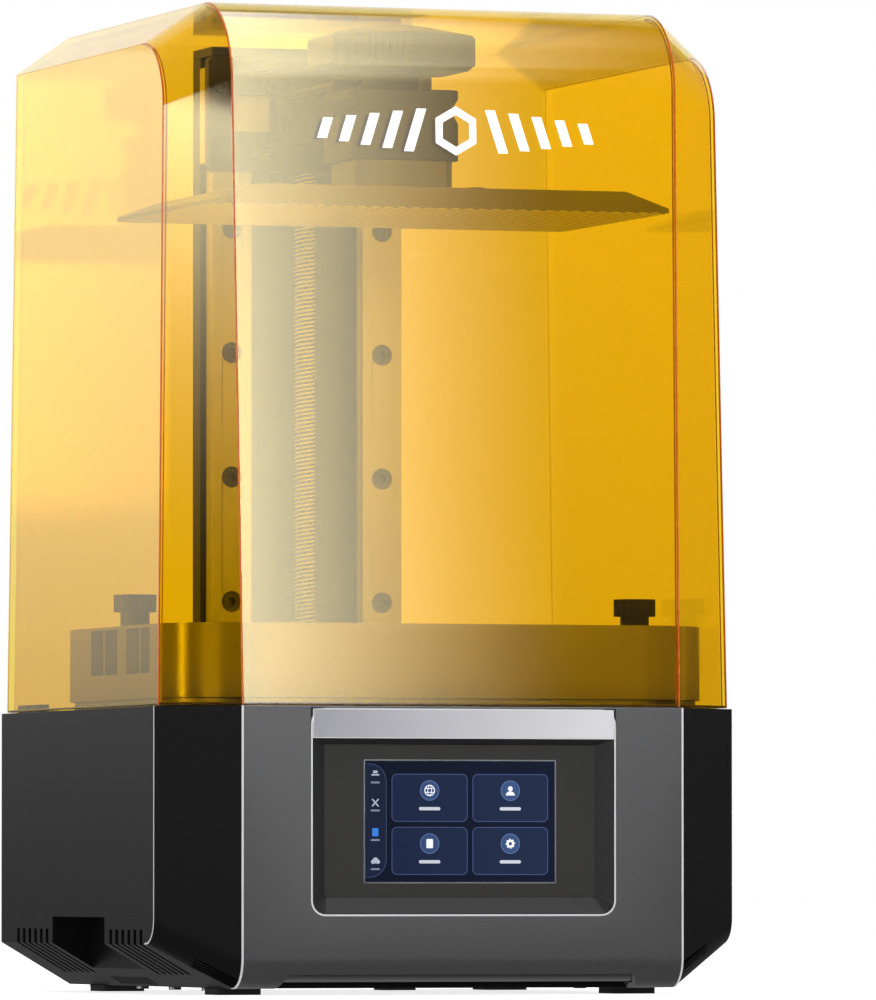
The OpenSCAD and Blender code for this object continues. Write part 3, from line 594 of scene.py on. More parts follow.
# %% Stack loops and join meshes
def stack(loops, closed=True):
    """Faces that join loops of equal length, with a flat cap on the first and last."""
    count = len(loops[0])
    points = [p for loop in loops for p in loop]
    faces = []
    for k in range(len(loops) - 1):
        for i in range(count):
            a, b = k * count + i, k * count + (i + 1) % count
            faces.append((a, b, b + count, a + count))
    if closed:
        faces.append(tuple(range(count)))
        faces.append(tuple(range((len(loops) - 1) * count, len(loops) * count)))
    return points, faces


def join_parts(parts):
    """One list of points and faces out of several."""
    points, faces = [], []
    for some_points, some_faces in parts:
        start = len(points)
        points += some_points
        faces += [tuple(i + start for i in face) for face in some_faces]
    return points, faces


square = [Vector((x, y, 0)) for x, y in ((0, 0), (1, 0), (1, 1), (0, 1))]
print("two stacked squares make", len(stack([square, square])[1]), "faces")

# %% [markdown]
# ## The hood's outline
# The hood is a moulded amber cover: a flat front that leans back, sloping corners, a rounded brow and a
# flat roof. It could be modelled as a box with its corners cut. Four outlines, two at the front's
# edges and two at the sides, keep each panel flat and give the brow its true radius.

# %% The hood's outlines
hood_low, hood_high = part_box("hood_shell")
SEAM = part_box("base_shell")[1].z
RISE = hood_high.z - SEAM
WALL = 2.6 * MM
LEAN = 12 * MM
FRONT_HALF = 106.83 * MM
CORNER_DEPTH = 25 * MM
SIDE_ROOF = 441 * MM
BROW = 40 * MM
SIDE_BROW = 32 * MM
FRONT_TAPER = -0.007
SIDE_TAPER = 0.0138


def hood_outline(front, lean, roof, radius, back, low, steps=28):
    """Side view from the lower front edge, over the brow and along the roof."""
    tilt = math.atan(lean / RISE)
    centre_z = roof - radius
    centre_y = front + (radius + math.sin(tilt) * (centre_z - low)) / math.cos(tilt)
    turns = [math.pi - tilt - (math.pi / 2 - tilt) * k / steps for k in range(steps + 1)]
    brow = [(centre_y + radius * math.cos(a), centre_z + radius * math.sin(a)) for a in turns]
    return [(front, low)] + brow + [(back, roof), (back, low)]


def hood_rings(inset, low):
    """Four outlines across the hood: side, front edge, front edge, side."""
    front_half = FRONT_HALF - inset / 3
    side_half = hood_high.x - inset
    back = hood_high.y - inset
    middle = hood_outline(hood_low.y + inset, LEAN, hood_high.z - inset, BROW - inset, back, low)
    side = hood_outline(hood_low.y + CORNER_DEPTH + inset / 2, LEAN / 2, SIDE_ROOF - inset / 2,
                        SIDE_BROW - inset / 2, back, low)
    rings = []
    for x, taper, outline in ((-side_half, SIDE_TAPER, side), (-front_half, FRONT_TAPER, middle),
                              (front_half, FRONT_TAPER, middle), (side_half, SIDE_TAPER, side)):
        turn = 1 if x > 0 else -1
        rings.append([Vector((x - turn * taper * (z - SEAM), y, z)) for y, z in outline])
    return rings


outer = hood_rings(0.0, hood_low.z)
inner = hood_rings(WALL, hood_low.z)
print("points in each outline:", len(outer[0]))

# %% [markdown]
# ## The hood's shell
# The real hood is a sheet of even thickness, open underneath. A solidify modifier could thicken one
# skin, but it would push the corners out of true. Two skins are lofted instead, an outer and an inner
# one set in by the wall, and a rim along the open bottom joins them.

# %% Build the hood shell
def hood_shell():
    count = len(outer[0])
    skins = []
    for rings in (outer, inner):
        points = [p for ring in rings for p in ring]
        faces = []
        for k in range(3):
            faces += [(k * count + i, k * count + i + 1, (k + 1) * count + i + 1, (k + 1) * count + i)
                      for i in range(count - 1)]
        faces += [tuple(range(count)), tuple(range(3 * count, 4 * count))]
        skins.append((points, faces))
    points, faces = join_parts(skins)
    total = 4 * count
    rim = [k * count for k in range(4)] + [(4 - k) * count - 1 for k in range(4)]
    for a, b in zip(rim, rim[1:] + rim[:1]):
        faces.append((a, b, b + total, a + total))
    return piece("hood_cover", points, faces, finishes["amber_hood"], "hood", "amber_hood",
                 ["hood_shell"], crisp=20)


hood = hood_shell()
bevelled(hood, 0.5 * MM, 2)
print("hood faces:", len(hood.data.polygons))

# %% [markdown]
# ## The hood's edge lines
# Light that enters an amber panel runs along it and comes out at its edges, deep red brown where two
# panels meet and pale where the roof meets the back. A plain tint would be far too even to show it, so
# fine beads follow the edges inside the wall: two sets along the corners, a dark one along the open
# rim, and a pale one round the back.

# %% Beads along the corners
def edge_amber(name, deep, bright):
    finish = Finish(name, deep, 0.25)
    streaks = finish.noise(12 * MM, detail=3.0)
    return finish.put(colour=finish.tint(streaks, bright), roughness=0.2 + 0.15 * streaks)


def tube(points, radius, sides=8):
    """A round bead along points, with its loops square to the path."""
    loops = []
    for k, point in enumerate(points):
        ahead = points[min(k + 1, len(points) - 1)] - points[max(k - 1, 0)]
        turn = ahead.normalized().to_track_quat("Z", "X")
        loops.append([point + turn @ Vector((radius * math.cos(math.tau * s / sides),
                                             radius * math.sin(math.tau * s / sides), 0))
                      for s in range(sides)])
    return stack(loops)


def within_wall(k, share):
    """One outline between the outer and inner skins, nearer the outer one for a small share."""
    return [a.lerp(b, share) for a, b in zip(outer[k], inner[k])]


lines = [within_wall(k, 0.2) for k in range(4)]
inner_lines = [within_wall(k, 0.85) for k in range(4)]
rim_path = [within_wall(k, 0.4)[0] for k in range(4)] + [within_wall(k, 0.4)[-1] for k in (3, 0)]
rim_path = [p + Vector((0, 0, 0.7 * MM)) for p in rim_path + rim_path[:1]]
edge_sets = {
    "hood_edge_lines": ([tube(line[:-2], 0.5 * MM) for line in lines],
                        edge_amber("edge_amber", (0.42, 0.075, 0.02), (0.62, 0.15, 0.03))),
    "hood_inner_lines": ([tube(line[:-2], 0.35 * MM) for line in inner_lines],
                         edge_amber("edge_amber_deep", (0.34, 0.09, 0.035), (0.48, 0.15, 0.05))),
    "hood_rim_lines": ([tube([a, b], 0.5 * MM) for a, b in zip(rim_path, rim_path[1:])],
                       edge_amber("edge_amber_dark", (0.05, 0.022, 0.012), (0.09, 0.04, 0.02))),
    "hood_back_lines": ([tube(line[-3:-1], 0.2 * MM) for line in lines]
                        + [tube(lines[k][-2:], 0.2 * MM) for k in (0, 3)],
                        edge_amber("edge_amber_pale", (0.75, 0.48, 0.10), (0.85, 0.58, 0.15))),
}
for name, (beads, finish) in edge_sets.items():
    points, faces = join_parts(beads)
    piece(name, points, faces, finish, "hood", "amber_hood")
    print(name, "faces:", len(faces))

# %% [markdown]
# ## A plain mark on the hood
# The front carries a printed white mark. Here it is a neutral ornament: a hexagon outline between rows
# of slanting bars. A picture could be projected on the hood, but print has a crisp edge at any
# distance, so each shape is a thin plate that lies on the leaning front. The print also has a faint
# painted glow, though it gives no light.

# %% White print and thin shapes
PROUD = 0.12 * MM


def print_with_painted_glow():
    # painted glow: the white print glows faintly, though print gives off no light
    finish = Finish("white_print_painted_glow", (0.85, 0.85, 0.84), 0.5, **{"Emission Strength": 0.35})
    speck = finish.noise(1.2 * MM, detail=3.0)
    return finish.put(colour=finish.tint(speck, (0.78, 0.78, 0.77)), roughness=0.45 + 0.1 * speck,
                      glow=finish.tint(speck, (0.95, 0.95, 0.95), first=(1, 1, 1)))


def on_hood_front(x, z):
    """A point on the leaning front of the hood, a hair in front of it."""
    return Vector((x, hood_low.y + LEAN * (z - hood_low.z) / RISE - PROUD, z))


def flat_shape(outline, place, depth):
    """A thin plate with the given outline; place turns (x, z) into a point."""
    front = [place(x, z) for x, z in outline]
    back = [p + Vector((0, depth, 0)) for p in front]
    return stack([front, back])


def ring_shape(outer_line, inner_line, place, depth):
    """A thin plate between two outlines with the same number of points."""
    loops = []
    for line, lift in ((inner_line, 0), (outer_line, 0), (outer_line, depth), (inner_line, depth)):
        loops.append([place(x, z) + Vector((0, lift, 0)) for x, z in line])
    points, faces = stack(loops, closed=False)
    count = len(outer_line)
    faces += [(3 * count + i, 3 * count + (i + 1) % count, (i + 1) % count, i) for i in range(count)]
    return points, faces


def polygon(centre, radius, sides, turn=0.0):
    return [(centre[0] + radius * math.cos(turn + math.tau * k / sides),
             centre[1] + radius * math.sin(turn + math.tau * k / sides)) for k in range(sides)]


print("print lies", round(PROUD / MM, 2), "mm in front of the hood")

# %% [markdown]
# ## Lay out the mark
# The hexagon stands in the middle, with five bars at each side that get shorter outward. A loop places
# them, so that both sides mirror each other exactly, and all shapes become one piece, as one print.

# %% Lay out the mark
MARK_Z = 400 * MM
MARK_HIGH = 20 * MM
MARK_DEPTH = 0.1 * MM
BAR_HALF = 2.4 * MM
SLANT = 3.2 * MM
CORNERS = ((-1, -1), (1, -1), (1, 1), (-1, 1))
hexagons = [polygon((0, MARK_Z), radius, 6, math.pi / 6) for radius in (11.5 * MM, 7.5 * MM)]
mark_parts = [ring_shape(*hexagons, on_hood_front, MARK_DEPTH)]
for turn in (-1, 1):
    for k in range(5):
        x = turn * (20 + 11 * k) * MM
        smaller = 1 - 0.13 * k
        half_high = MARK_HIGH / 2 * smaller
        slant = turn * SLANT * smaller
        bar = [(x + across * BAR_HALF - up * slant, MARK_Z + up * half_high) for across, up in CORNERS]
        mark_parts.append(flat_shape(bar, on_hood_front, MARK_DEPTH))
mark_points, mark_faces = join_parts(mark_parts)
piece("hood_mark", mark_points, mark_faces, print_with_painted_glow(), "hood", "amber_hood")
print("shapes in the mark:", len(mark_parts))

# %% [markdown]
# ## The lead screw
# The plate rides on a two-start trapezoidal screw, bright on the crests and dark in the grooves from
# grease and shade. Its thread could be a bump, but it is seen against a bright background, so its
# outline has to be right. Each ring of points is pulled in where the groove passes, which gives a true
# helix without cutting.

# %% Cut the thread
LEAD = 4 * MM
STARTS = 2
THREAD_DEPTH = 0.9 * MM
HALF_CREST = 0.17
FLANK = 8


def threaded_rod(name, node, finish, step=0.45 * MM, sides=28):
    low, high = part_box(node)
    centre = (low + high) / 2
    radius = (high.x - low.x) / 2
    rings = []
    count = int((high.z - low.z) / step)
    for k in range(count + 1):
        z = low.z + (high.z - low.z) * k / count
        ring = []
        for s in range(sides):
            turn = math.tau * s / sides
            phase = (z / LEAD * STARTS - s / sides * STARTS) % 1.0
            groove = min(1.0, max(0.0, (abs(phase - 0.5) - HALF_CREST) * FLANK))
            r = radius - THREAD_DEPTH * groove
            ring.append(Vector((centre.x + r * math.cos(turn), centre.y + r * math.sin(turn), z)))
        rings.append(ring)
    points, faces = stack(rings)
    return piece(name, points, faces, finish, body_of[node], slot_of[node], [node], crisp=40)


# %% [markdown]
# ## Grease and painted shade in the groove
# The screw's crests are wiped bright by the nut, and the groove is dark from grease and from shade,
# both painted into its colour. Two materials on separate faces would leave a stepped border. One finish
# looks at how far a point lies from the screw's axis instead, and darkens whatever is below half the
# thread's depth.

# %% Grease and shade the groove
def grease_and_shade_thread():
    """Bright steel on the crests of the thread, and grease with painted shade down in its groove."""
    low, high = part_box("lead_screw")
    finish = brushed("grease_and_shade_thread", (0.80, 0.78, 0.74), 0.3, along=(40, 40, 1), metal=0.3)
    across = finish.place(0) - (low.x + high.x) / 2
    front = finish.place(1) - (low.y + high.y) / 2
    reach = (high.x - low.x) / 2 - THREAD_DEPTH / 2
    # painted shade: the groove's dark colour is grease together with the shade that falls in it
    groove = (across * across + front * front) < reach * reach
    dirt = finish.noise(2 * MM)
    return finish.put(colour=finish.tint(groove, (0.05, 0.05, 0.055)), roughness=0.28 + 0.15 * dirt)


thread = threaded_rod("threaded_screw", "lead_screw", grease_and_shade_thread())
print("thread faces:", len(thread.data.polygons))

# %% [markdown]
# ## The clamp knob
# The big six-sided knob is a moulding: three smooth faces and three ribbed ones, a shallow pyramid on
# top and a rounded rim below. It could be cut from a block with booleans, which leave ragged faces.
# Ribs and pads are laid round a slightly smaller core instead, and then all edges are softened.

# %% Blocks and the knob's core
RIBS = 8
RIB_HALF = 1.05 * MM
KNOB_CAP = 5 * MM
PAD_SKIN = 1.3 * MM
UP = Vector((0, 0, 1))


def solid_bar(centre, across, out, size):
    """A block from its centre, two level directions and three half sizes."""
    corners = []
    for a in (-1, 1):
        for b in (-1, 1):
            for c in (-1, 1):
                corners.append(centre + across * (a * size[0]) + UP * (b * size[1]) + out * (c * size[2]))
    return corners, [(0, 1, 3, 2), (4, 6, 7, 5), (0, 4, 5, 1), (2, 3, 7, 6), (0, 2, 6, 4), (1, 5, 7, 3)]


def knob_core(low, high, shoulder, core):
    """Six straight faces between a rounded rim and a shallow pyramid."""
    centre = (low + high) / 2
    corner = math.radians(30)
    heights = ((low.z, core - 2.5 * MM), (low.z + 2.2 * MM, core), (shoulder - 0.2 * MM, core),
               (shoulder + 0.6 * MM, core - 1.2 * MM), (high.z - 0.4 * MM, 17.5 * MM), (high.z, 16 * MM))
    return stack([[Vector((centre.x + r * math.cos(corner + math.tau * k / 6),
                           centre.y + r * math.sin(corner + math.tau * k / 6), z)) for k in range(6)]
                  for z, r in heights])


print("ribs on each ribbed face:", RIBS)

# %% [markdown]
# ## The knob's six faces
# Every other face has eight ribs between two narrow pads, and the faces between them have one wide
# pad. The blocks stand on the core and are not cut into it, since only their outer corners show.
# Bevelling the whole at the end gives ribs, pads and rim the same small radius.

# %% Mould the knob
def face_blocks(face, centre, radius, pad_half):
    """Two end pads with ribs between them on every other face, and one wide pad on the rest."""
    turn = math.tau * face / 6
    out = Vector((math.cos(turn), math.sin(turn), 0))
    across = Vector((-math.sin(turn), math.cos(turn), 0))
    half_face = radius / 2
    middle_of_face = centre + out * (radius * math.cos(math.pi / 6) - PAD_SKIN / 2)
    ribbed = face % 2 == 0
    blocks = []
    for side, share in ([(-1, 0.12), (1, 0.12)] if ribbed else [(0, 0.93)]):
        at = middle_of_face + across * (side * half_face * (0.87 - share / 2))
        blocks.append(solid_bar(at, across, out, (half_face * share, pad_half, PAD_SKIN / 2)))
    for k in range(RIBS if ribbed else 0):
        at = middle_of_face + across * (half_face * (-0.56 + 1.12 * k / (RIBS - 1)))
        blocks.append(solid_bar(at, across, out, (RIB_HALF, pad_half, PAD_SKIN / 2)))
    return blocks


def clamp_knob():
    low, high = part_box("hex_knob")
    radius = (high.y - low.y) / 2
    shoulder = high.z - KNOB_CAP
    pad_z = (low.z + 2.4 * MM + shoulder - 0.6 * MM) / 2
    pad_half = (shoulder - low.z - 3.0 * MM) / 2
    centre = Vector(((low.x + high.x) / 2, (low.y + high.y) / 2, pad_z))
    blocks = [knob_core(low, high, shoulder, radius - PAD_SKIN * 1.16)]
    for face in range(6):
        blocks += face_blocks(face, centre, radius, pad_half)
    points, faces = join_parts(blocks)
    knob = piece("clamp_knob", points, faces, finishes["knob_plastic"], "clamp_knob", "knob_plastic",
                 ["hex_knob"])
    return bevelled(knob, 0.45 * MM, 3)


print("knob faces:", len(clamp_knob().data.polygons))

# %% [markdown]
# ## Bright rims
# The recess in the front panel is cut with a diamond tool, which leaves a bright bevel round it. It
# could be left to the panel's own bevel, but the cut is polished and the panel is painted, so it is a
# strip of its own. The display has a much finer grey frame where the glass meets its mask.

# %% Strips for the rims
def upright_place(y):
    return lambda x, z: Vector((x, y, z))


def rounded(x0, z0, x1, z1, r, steps=6):
    """A rectangle with round corners, as points in order."""
    corners = ((x1 - r, z1 - r, 0), (x0 + r, z1 - r, 90), (x0 + r, z0 + r, 180), (x1 - r, z0 + r, 270))
    turns = [90 * k / steps for k in range(steps + 1)]
    return [(x + r * math.cos(math.radians(a + turn)), z + r * math.sin(math.radians(a + turn)))
            for x, z, a in corners for turn in turns]


def frame_strip(low_corner, high_corner, radius, width, y, depth):
    (x0, z0), (x1, z1) = low_corner, high_corner
    outside = rounded(x0, z0, x1, z1, radius)
    inside = rounded(x0 + width, z0 + width, x1 - width, z1 - width, max(radius - width, 0.1 * MM))
    return ring_shape(outside, inside, upright_place(y), depth)


print("points round a frame:", len(rounded(0, 0, 1, 1, 0.1)))

# %% [markdown]
# ## Where the rims lie
# Each rim follows the working part that it surrounds, so its corners come from that part's box. The
# recess and the plate get polished metal, and the display gets the grey of its mask. They could be one
# piece, but the finishes differ.

# %% Place the three rims
panel_low, panel_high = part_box("screen_display")
bezel_low, bezel_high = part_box("screen_bezel")
plate_low, plate_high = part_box("name_plate")
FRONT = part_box("front_panel")[0].y
BEVEL_OUT = 0.28 * MM
FRAME_OUT = 0.55 * MM
recess = frame_strip((bezel_low.x - BEVEL_OUT, bezel_low.z - BEVEL_OUT),
                     (bezel_high.x + BEVEL_OUT, plate_high.z + 0.25 * MM), 7 * MM, 0.75 * MM,
                     FRONT + 0.02 * MM, 0.4 * MM)
piece("recess_rim", *recess, finishes["bright_trim"], "base", "bright_trim")
plate_rim = frame_strip((plate_low.x, plate_low.z), (plate_high.x, plate_high.z), 0.3 * MM, 0.5 * MM,
                        plate_low.y + 0.001 * MM, 0.1 * MM)
piece("plate_rim", *plate_rim, finishes["bright_trim"], "base", "bright_trim")
display_rim = frame_strip((panel_low.x - FRAME_OUT, panel_low.z - FRAME_OUT),
                          (panel_high.x + FRAME_OUT, panel_high.z + FRAME_OUT), 0.5 * MM, 0.6 * MM,
                          panel_low.y - 0.15 * MM, 0.1 * MM)
piece("display_rim", *display_rim, finishes["mask_metal"], "base", "mask_metal")
print("recess width, mm:", round((bezel_high.x - bezel_low.x) / MM, 1))

# %% [markdown]
# ## The touch screen's picture
# The display shows a side bar and four round-cornered tiles. A picture file would be the usual way, but
# thin lit shapes laid on the panel stay sharp from any distance and need no file. Every shape is a
# disc, a hoop or a pill on one of a few thin layers, so three helpers draw almost all of it.

# %% Shapes for the screen
screen_x = (panel_low.x + panel_high.x) / 2
screen_z = (panel_low.z + panel_high.z) / 2
SHEET = 0.015 * MM
LAYER_STEP = 0.02 * MM


def layer(level):
    """Turns (x, z) from the screen's middle into a point; higher levels lie nearer the viewer."""
    return lambda x, z: Vector((screen_x + x, panel_low.y - LAYER_STEP * (1 + level), screen_z + z))


def disc(x, z, radius, sides, level):
    return flat_shape(polygon((x, z), radius, sides), layer(level), SHEET)


def hoop(x, z, outside, inside, sides, level):
    return ring_shape(polygon((x, z), outside, sides), polygon((x, z), inside, sides), layer(level), SHEET)


def pill(x, z, half_wide, half_high, corner, level):
    outline = rounded(x - half_wide, z - half_high, x + half_wide, z + half_high, corner)
    return flat_shape(outline, layer(level), SHEET)


print("screen, mm:", [round(side / MM, 1) for side in (panel_high - panel_low)])

# %% [markdown]
# ## Symbols for the tiles
# The real tiles carry small white pictures over a word. The words are left out, and the pictures are
# the plain signs that any device uses: a globe, a person, a page and a cog. Each is a short function
# of its middle, so that a tile can take any of them.

# %% Symbols on the tiles
SYMBOL = 4


def oval(x, z, half_wide, half_high):
    return [(x + half_wide * across, z + half_high * up) for across, up in polygon((0, 0), 1.0, 24)]


def globe(x, z):
    ovals = [oval(x, z, 1.1 * MM, 2.3 * MM), oval(x, z, 0.75 * MM, 2.1 * MM)]
    meridian = ring_shape(*ovals, layer(SYMBOL), SHEET)
    parallels = [pill(x, z + up * MM, 2.2 * MM, 0.17 * MM, 0.1 * MM, SYMBOL) for up in (-0.9, 0.9)]
    return [hoop(x, z, 2.6 * MM, 2.15 * MM, 24, SYMBOL), meridian] + parallels


def person(x, z):
    turns = [math.pi * k / 14 for k in range(15)]
    shoulders = [(x + 2.2 * MM * math.cos(a), z + (1.9 * math.sin(a) - 2.2) * MM) for a in turns]
    return [disc(x, z + 0.9 * MM, 1.15 * MM, 20, SYMBOL), flat_shape(shoulders, layer(SYMBOL), SHEET)]


def page(x, z):
    return [pill(x, z, 1.6 * MM, 2.1 * MM, 0.4 * MM, SYMBOL)]


def cog(x, z):
    points = 32
    radius = 2.3 * MM
    teeth = []
    for k in range(points):
        r = radius if (k // 2) % 2 == 0 else radius * 0.78
        teeth.append((x + r * math.cos(math.tau * k / points), z + r * math.sin(math.tau * k / points)))
    hole = polygon((x, z), radius * 0.36, points)
    return [ring_shape(teeth, hole, layer(SYMBOL), SHEET)]


symbols = [globe, person, page, cog]
print("symbols:", [draw.__name__ for draw in symbols])

# %% [markdown]
# ## The tiles and the side bar
# Each tile is a lit patch with a brighter outline, and a round badge with a rim under its symbol. The
# bar at the left ends in two wide curves. They are built from the back layer to the front one, and
# each layer is a piece of its own, because each has its own glow.

# %% Shapes of the tiles and the bar
TILE_W = 36.4 * MM
TILE_H = 21.4 * MM
TILE_CORNER = 2.2 * MM
BADGE = 4.5 * MM
ICON_UP = 3.4 * MM
LABEL_DOWN = 5.0 * MM
tile_places = [(x, z) for z in (10.9 * MM, -13.6 * MM) for x in (-14.9 * MM, 24.6 * MM)]
badge_places = [(x, z + ICON_UP) for x, z in tile_places]


def lit(name, parts, colour, other=None, strength=1.0):
    points, faces = join_parts(parts)
    return piece(name, points, faces, glowing(name, colour, other, strength), "base", "display")


def tile_outline(centre, grow=0.0):
    x, z = centre
    half_wide = TILE_W / 2 + grow
    half_high = TILE_H / 2 + grow
    return rounded(x - half_wide, z - half_high, x + half_wide, z + half_high, TILE_CORNER + grow)


def side_bar(grow):
    """A bar against the left edge whose two right corners are wide curves."""
    radius = 8 * MM + grow
    left, right = -46.3 * MM, -36.2 * MM + grow
    top, bottom = 26.3 * MM + grow, -25.6 * MM - grow
    turns = [math.radians(90 * k / 10) for k in range(11)]
    upper = [(right - radius * (1 - math.cos(a)), top - radius * (1 - math.sin(a))) for a in turns]
    lower = [(right - radius * (1 - math.sin(a)), bottom + radius * (1 - math.cos(a))) for a in turns]
    return [(left, bottom)] + lower + upper + [(left, top)]


print("tile outline points:", len(tile_outline(tile_places[0])))

# %% [markdown]
# ## Light the layers
# The shapes are laid from the back of the picture to the front: bar, tiles, badges, symbols and blank
# labels. Each layer glows in two near colours that drift across the screen, because a lit panel is
# never quite even. The symbols are the brightest.

# %% Lay the picture on the display
lit("screen_side_bar", [flat_shape(side_bar(0), layer(0.5), SHEET)],
    (0.010, 0.016, 0.040), (0.015, 0.023, 0.053))
lit("screen_side_edge", [ring_shape(side_bar(0.3 * MM), side_bar(0), layer(0.5), SHEET)],
    (0.05, 0.075, 0.17), (0.06, 0.10, 0.21))
tile_edges = [ring_shape(tile_outline(c, 0.35 * MM), tile_outline(c), layer(1), SHEET) for c in tile_places]
lit("screen_tile_edges", tile_edges, (0.055, 0.085, 0.20), (0.07, 0.11, 0.24))
lit("screen_tiles", [flat_shape(tile_outline(c), layer(1), SHEET) for c in tile_places],
    (0.011, 0.018, 0.050), (0.018, 0.030, 0.070))
lit("screen_badges", [disc(x, z, BADGE, 36, 2) for x, z in badge_places],
    (0.028, 0.055, 0.14), (0.06, 0.11, 0.26))
lit("screen_badge_rims", [hoop(x, z, BADGE + 0.2 * MM, BADGE - 0.15 * MM, 36, 3) for x, z in badge_places],
    (0.10, 0.16, 0.34))
lit("screen_symbols", [shape for draw, at in zip(symbols, badge_places) for shape in draw(*at)],
    (0.80, 0.86, 0.95), strength=1.1)
lit("screen_labels", [pill(x, z - LABEL_DOWN, 5.2 * MM, 0.75 * MM, 0.7 * MM, 2) for x, z in tile_places],
    (0.55, 0.58, 0.66))
print("tiles:", len(tile_places))

# %% [markdown]
# ## Symbols for the side bar
# Four small grey signs stand in the bar, each over a short line where its word would be, and the
# chosen one is blue. They are drawn with the same three helpers. The cloud's three discs lie on
# slightly different layers, so that no two faces share one plane.

# %% Symbols on the side bar
SIDE_X = -41.4 * MM
SIDE_ZS = [21.5 * MM, 8.6 * MM, -5.0 * MM, -18.4 * MM]


def drawer(z):
    return [pill(SIDE_X, z - 0.05 * MM, 1.9 * MM, 0.35 * MM, 0.2 * MM, 2),
            pill(SIDE_X, z + 1.3 * MM, 1.1 * MM, 0.6 * MM, 0.2 * MM, 2)]


def crossed_tools(z):
    """Two slim bars that cross, one a layer above the other."""
    bars = []
    for turn in (-1, 1):
        ends = ((1.8, -1.5), (1.3, -1.9), (-1.8, 1.5), (-1.3, 1.9))
        outline = [(SIDE_X + turn * across * MM, z + up * MM) for across, up in ends]
        bars.append(flat_shape(outline, layer(2 + (turn > 0)), SHEET))
    return bars


def cloud(z):
    puffs = ((-1.1, -0.2, 1.0), (0.1, 0.4, 1.4), (1.3, -0.2, 1.0))
    return [disc(SIDE_X + across * MM, z + up * MM, radius * MM, 18, 2 + 0.2 * k)
            for k, (across, up, radius) in enumerate(puffs)]


lit("screen_side_symbols", drawer(SIDE_ZS[0]) + crossed_tools(SIDE_ZS[1]) + cloud(SIDE_ZS[3]),
    (0.42, 0.46, 0.56))
lit("screen_side_chosen", [pill(SIDE_X, SIDE_ZS[2], 1.5 * MM, 1.9 * MM, 0.4 * MM, 2)],
    (0.04, 0.20, 0.75), (0.06, 0.30, 0.9))
lit("screen_side_labels", [pill(SIDE_X, z - 3.6 * MM, 2.2 * MM, 0.4 * MM, 0.35 * MM, 2) for z in SIDE_ZS],
    (0.22, 0.25, 0.33))
print("side symbols:", len(SIDE_ZS))

# %% [markdown]
# ## The studio floor
# A pale floor, as for a catalogue. A sheet lit only by lamps would fall off to grey behind the printer,
# so it also glows by itself, evenly. Glossy surfaces do not see it, because a white floor mirrored in
# the black casing would wash it out.

# %% Floor
FLOOR_REACH = 20.0
FLOOR_CORNERS = [(FLOOR_REACH * across, FLOOR_REACH * back, 0) for across, back in CORNERS]


def studio_floor():
    finish = Finish("pale_floor", (0.55, 0.55, 0.55), 0.5, **{"Emission Strength": 0.8})
    clouds = finish.noise(0.8, detail=1.0)
    finish.put(colour=finish.tint(clouds, (0.57, 0.57, 0.57)), roughness=0.45 + 0.1 * clouds,
               glow=finish.tint(clouds, (0.98, 0.98, 0.98), first=(1, 1, 1)))
    mesh = bpy.data.meshes.new("floor")
    mesh.from_pydata(FLOOR_CORNERS, [], [(0, 1, 2, 3)])
    mesh.materials.append(finish.material)
    floor = bpy.data.objects.new("floor", mesh)
    scene.collection.objects.link(floor)
    floor.visible_glossy = False
    return floor


print("floor, m:", list(studio_floor().dimensions))

# %% [markdown]
# ## The studio's walls
# The world is white where the camera looks past the printer. What the printer mirrors is another
# matter: a room that is white all round would flood the black casing, so for every other ray it is a
# bright backdrop, a soft ceiling and a dim front.

# %% World
def white_world():
    world = bpy.data.worlds.new("studio")
    scene.world = world
    world.use_nodes = True
    graph = Graph(world.node_tree)
    background = world.node_tree.nodes["Background"]
    seen = graph.node("LightPath", output="Is Camera Ray")
    back = graph.place(1, "Generated")
    up = graph.place(2, "Generated")
    room = 0.03 + 0.25 * back.most(0.0) + 0.4 * up.most(0.0)
    feed(graph.tree, background.inputs["Strength"], seen + (1 - seen) * room)
    background.inputs["Color"].default_value = (1, 1, 1, 1)
    return world


print("world:", white_world().name)

# %% [markdown]
# ## Soft cards
# What the printer's surfaces mirror are cards: sheets that glow evenly, or fade towards one side where
# the mirror image needs a soft end. An area lamp cannot fade, so each card is a mesh whose glow follows
# a ramp along its width or height. The camera does not see the cards, only what they do.

# %% Cards
def soft_card(name, rows, glow, sideways=(1.0, 1.0), curve=1.0, upward=(1.0, 1.0), lift=1.0):
    """A glowing ribbon through rows of (left, right) points, brighter or dimmer across and upward."""
    finish = Finish(name, (0, 0, 0), 1.0)
    fade = sideways[0] + (sideways[1] - sideways[0]) * finish.place(0, "UV")
    rise = upward[0] + (upward[1] - upward[0]) * finish.place(1, "UV")
    level = glow * fade.power(curve) * rise.power(lift)
    finish.show(finish.node("Emission", inputs={"Strength": level}))
    mesh = bpy.data.meshes.new(name)
    steps = len(rows) - 1
    mesh.from_pydata([point for row in rows for point in row], [],
                     [(2 * k, 2 * k + 1, 2 * k + 3, 2 * k + 2) for k in range(steps)])
    layout = mesh.uv_layers.new(name="card")
    for loop in mesh.loops:
        layout.data[loop.index].uv = (loop.vertex_index % 2, (loop.vertex_index // 2) / steps)
    mesh.materials.append(finish.material)
    card = bpy.data.objects.new(name, mesh)
    scene.collection.objects.link(card)
    card.visible_camera = False
    card.visible_shadow = False
    return card


def upright(x0, y0, x1, y1, z0, z1):
    return [((x0, y0, z0), (x1, y1, z0)), ((x0, y0, z1), (x1, y1, z1))]


print("a card is a ribbon of", len(upright(0, 0, 1, 1, 0, 1)), "rows or more")

# %% [markdown]
# ## Soft lamps
# A lamp several times as wide as the printer gives soft shadows, where a small one would draw hard
# ones. Two are enough: one overhead, one in front. They are hidden from mirrors, because the image of
# a sharp-edged lamp would cut across the hood, and the cards are there to be mirrored.

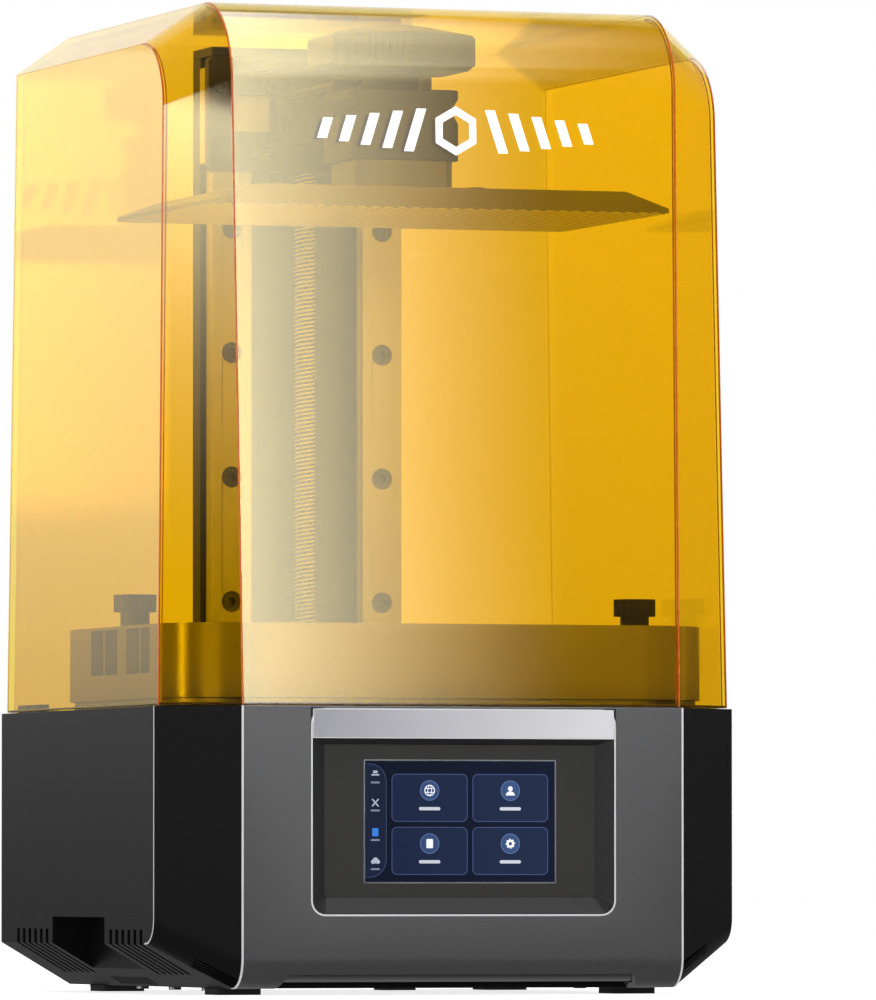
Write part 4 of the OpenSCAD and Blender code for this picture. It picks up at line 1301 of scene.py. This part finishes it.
# %% Lamps
def soft_lamp(name, place, aim_at, wide, high, power):
    lamp = bpy.data.lights.new(name, "AREA")
    lamp.shape = "RECTANGLE"
    lamp.size = wide
    lamp.size_y = high
    lamp.energy = power
    made = bpy.data.objects.new(name, lamp)
    scene.collection.objects.link(made)
    made.location = place
    made.rotation_euler = (Vector(aim_at) - Vector(place)).to_track_quat("-Z", "Y").to_euler()
    made.visible_camera = False
    made.visible_glossy = False
    return made


print("lamps are made by", soft_lamp.__name__)

# %% [markdown]
# ## The set
# The veil card climbs in front of the printer and bends back over it, so that its image runs up the
# hood's front and over the brow. The low cards at the left put a soft sheen on the sloping corner and
# on the black side, one at the right rims the far corner, and the ones behind light the hood through.

# %% Hang the lamps and cards
LOW_WIDTH = 0.305
HIGH_WIDTH = 0.40
HIGH_FROM = 2.0
VEIL_PATH = ((0.60, -2.45, 0.33), (0.60, -2.45, 0.9), (0.70, -2.45, 1.4), (0.78, -2.45, 1.9),
             (0.84, -2.35, 2.4), (0.70, -1.7, 2.5), (0.60, -1.16, 2.5), (0.52, -0.1, 2.5), (0.50, 1.2, 2.5))
veil_rows = [((x, y, z), (x + (LOW_WIDTH if z < HIGH_FROM else HIGH_WIDTH), y, z)) for x, y, z in VEIL_PATH]
lamps = [soft_lamp("top_lamp", (0.1, -0.3, 2.4), (0, 0, 0.2), 2.0, 1.4, 30),
         soft_lamp("front_fill", (0.3, -3.0, 1.0), (0, 0, 0.25), 2.0, 1.6, 26)]
cards = [soft_card("veil_card", veil_rows, 10.5, (1.2, 0.0), 1.7),
         soft_card("facet_card", upright(-1.55, -0.72, -1.15, -1.30, 0.25, 0.63), 10, upward=(0.0, 1.0),
                   lift=3.0),
         soft_card("base_card", upright(-1.55, -0.72, -1.15, -1.30, 0.0, 0.15), 5, upward=(0.0, 1.0)),
         soft_card("streak_card", upright(-1.8, 0.25, -1.8, 0.0, 0.02, 0.5), 8),
         soft_card("right_card", upright(1.8, -0.20, 1.8, -0.083, 0.0, 0.7), 4.0, (1.0, 0.0)),
         soft_card("back_card", upright(-1.1, 1.15, -0.1, 1.15, 0.0, 0.55), 1.55, upward=(0.08, 1.0)),
         soft_card("behind_card", upright(0.0, 1.3, 1.3, 1.3, 0.2, 0.55), 1.1),
         soft_card("high_back_card", upright(-1.4, 1.3, 1.6, 1.3, 0.55, 2.2), 1.0)]
scene.view_settings.view_transform = "Standard"
print("lamps:", len(lamps), "cards:", len(cards))

# %% [markdown]
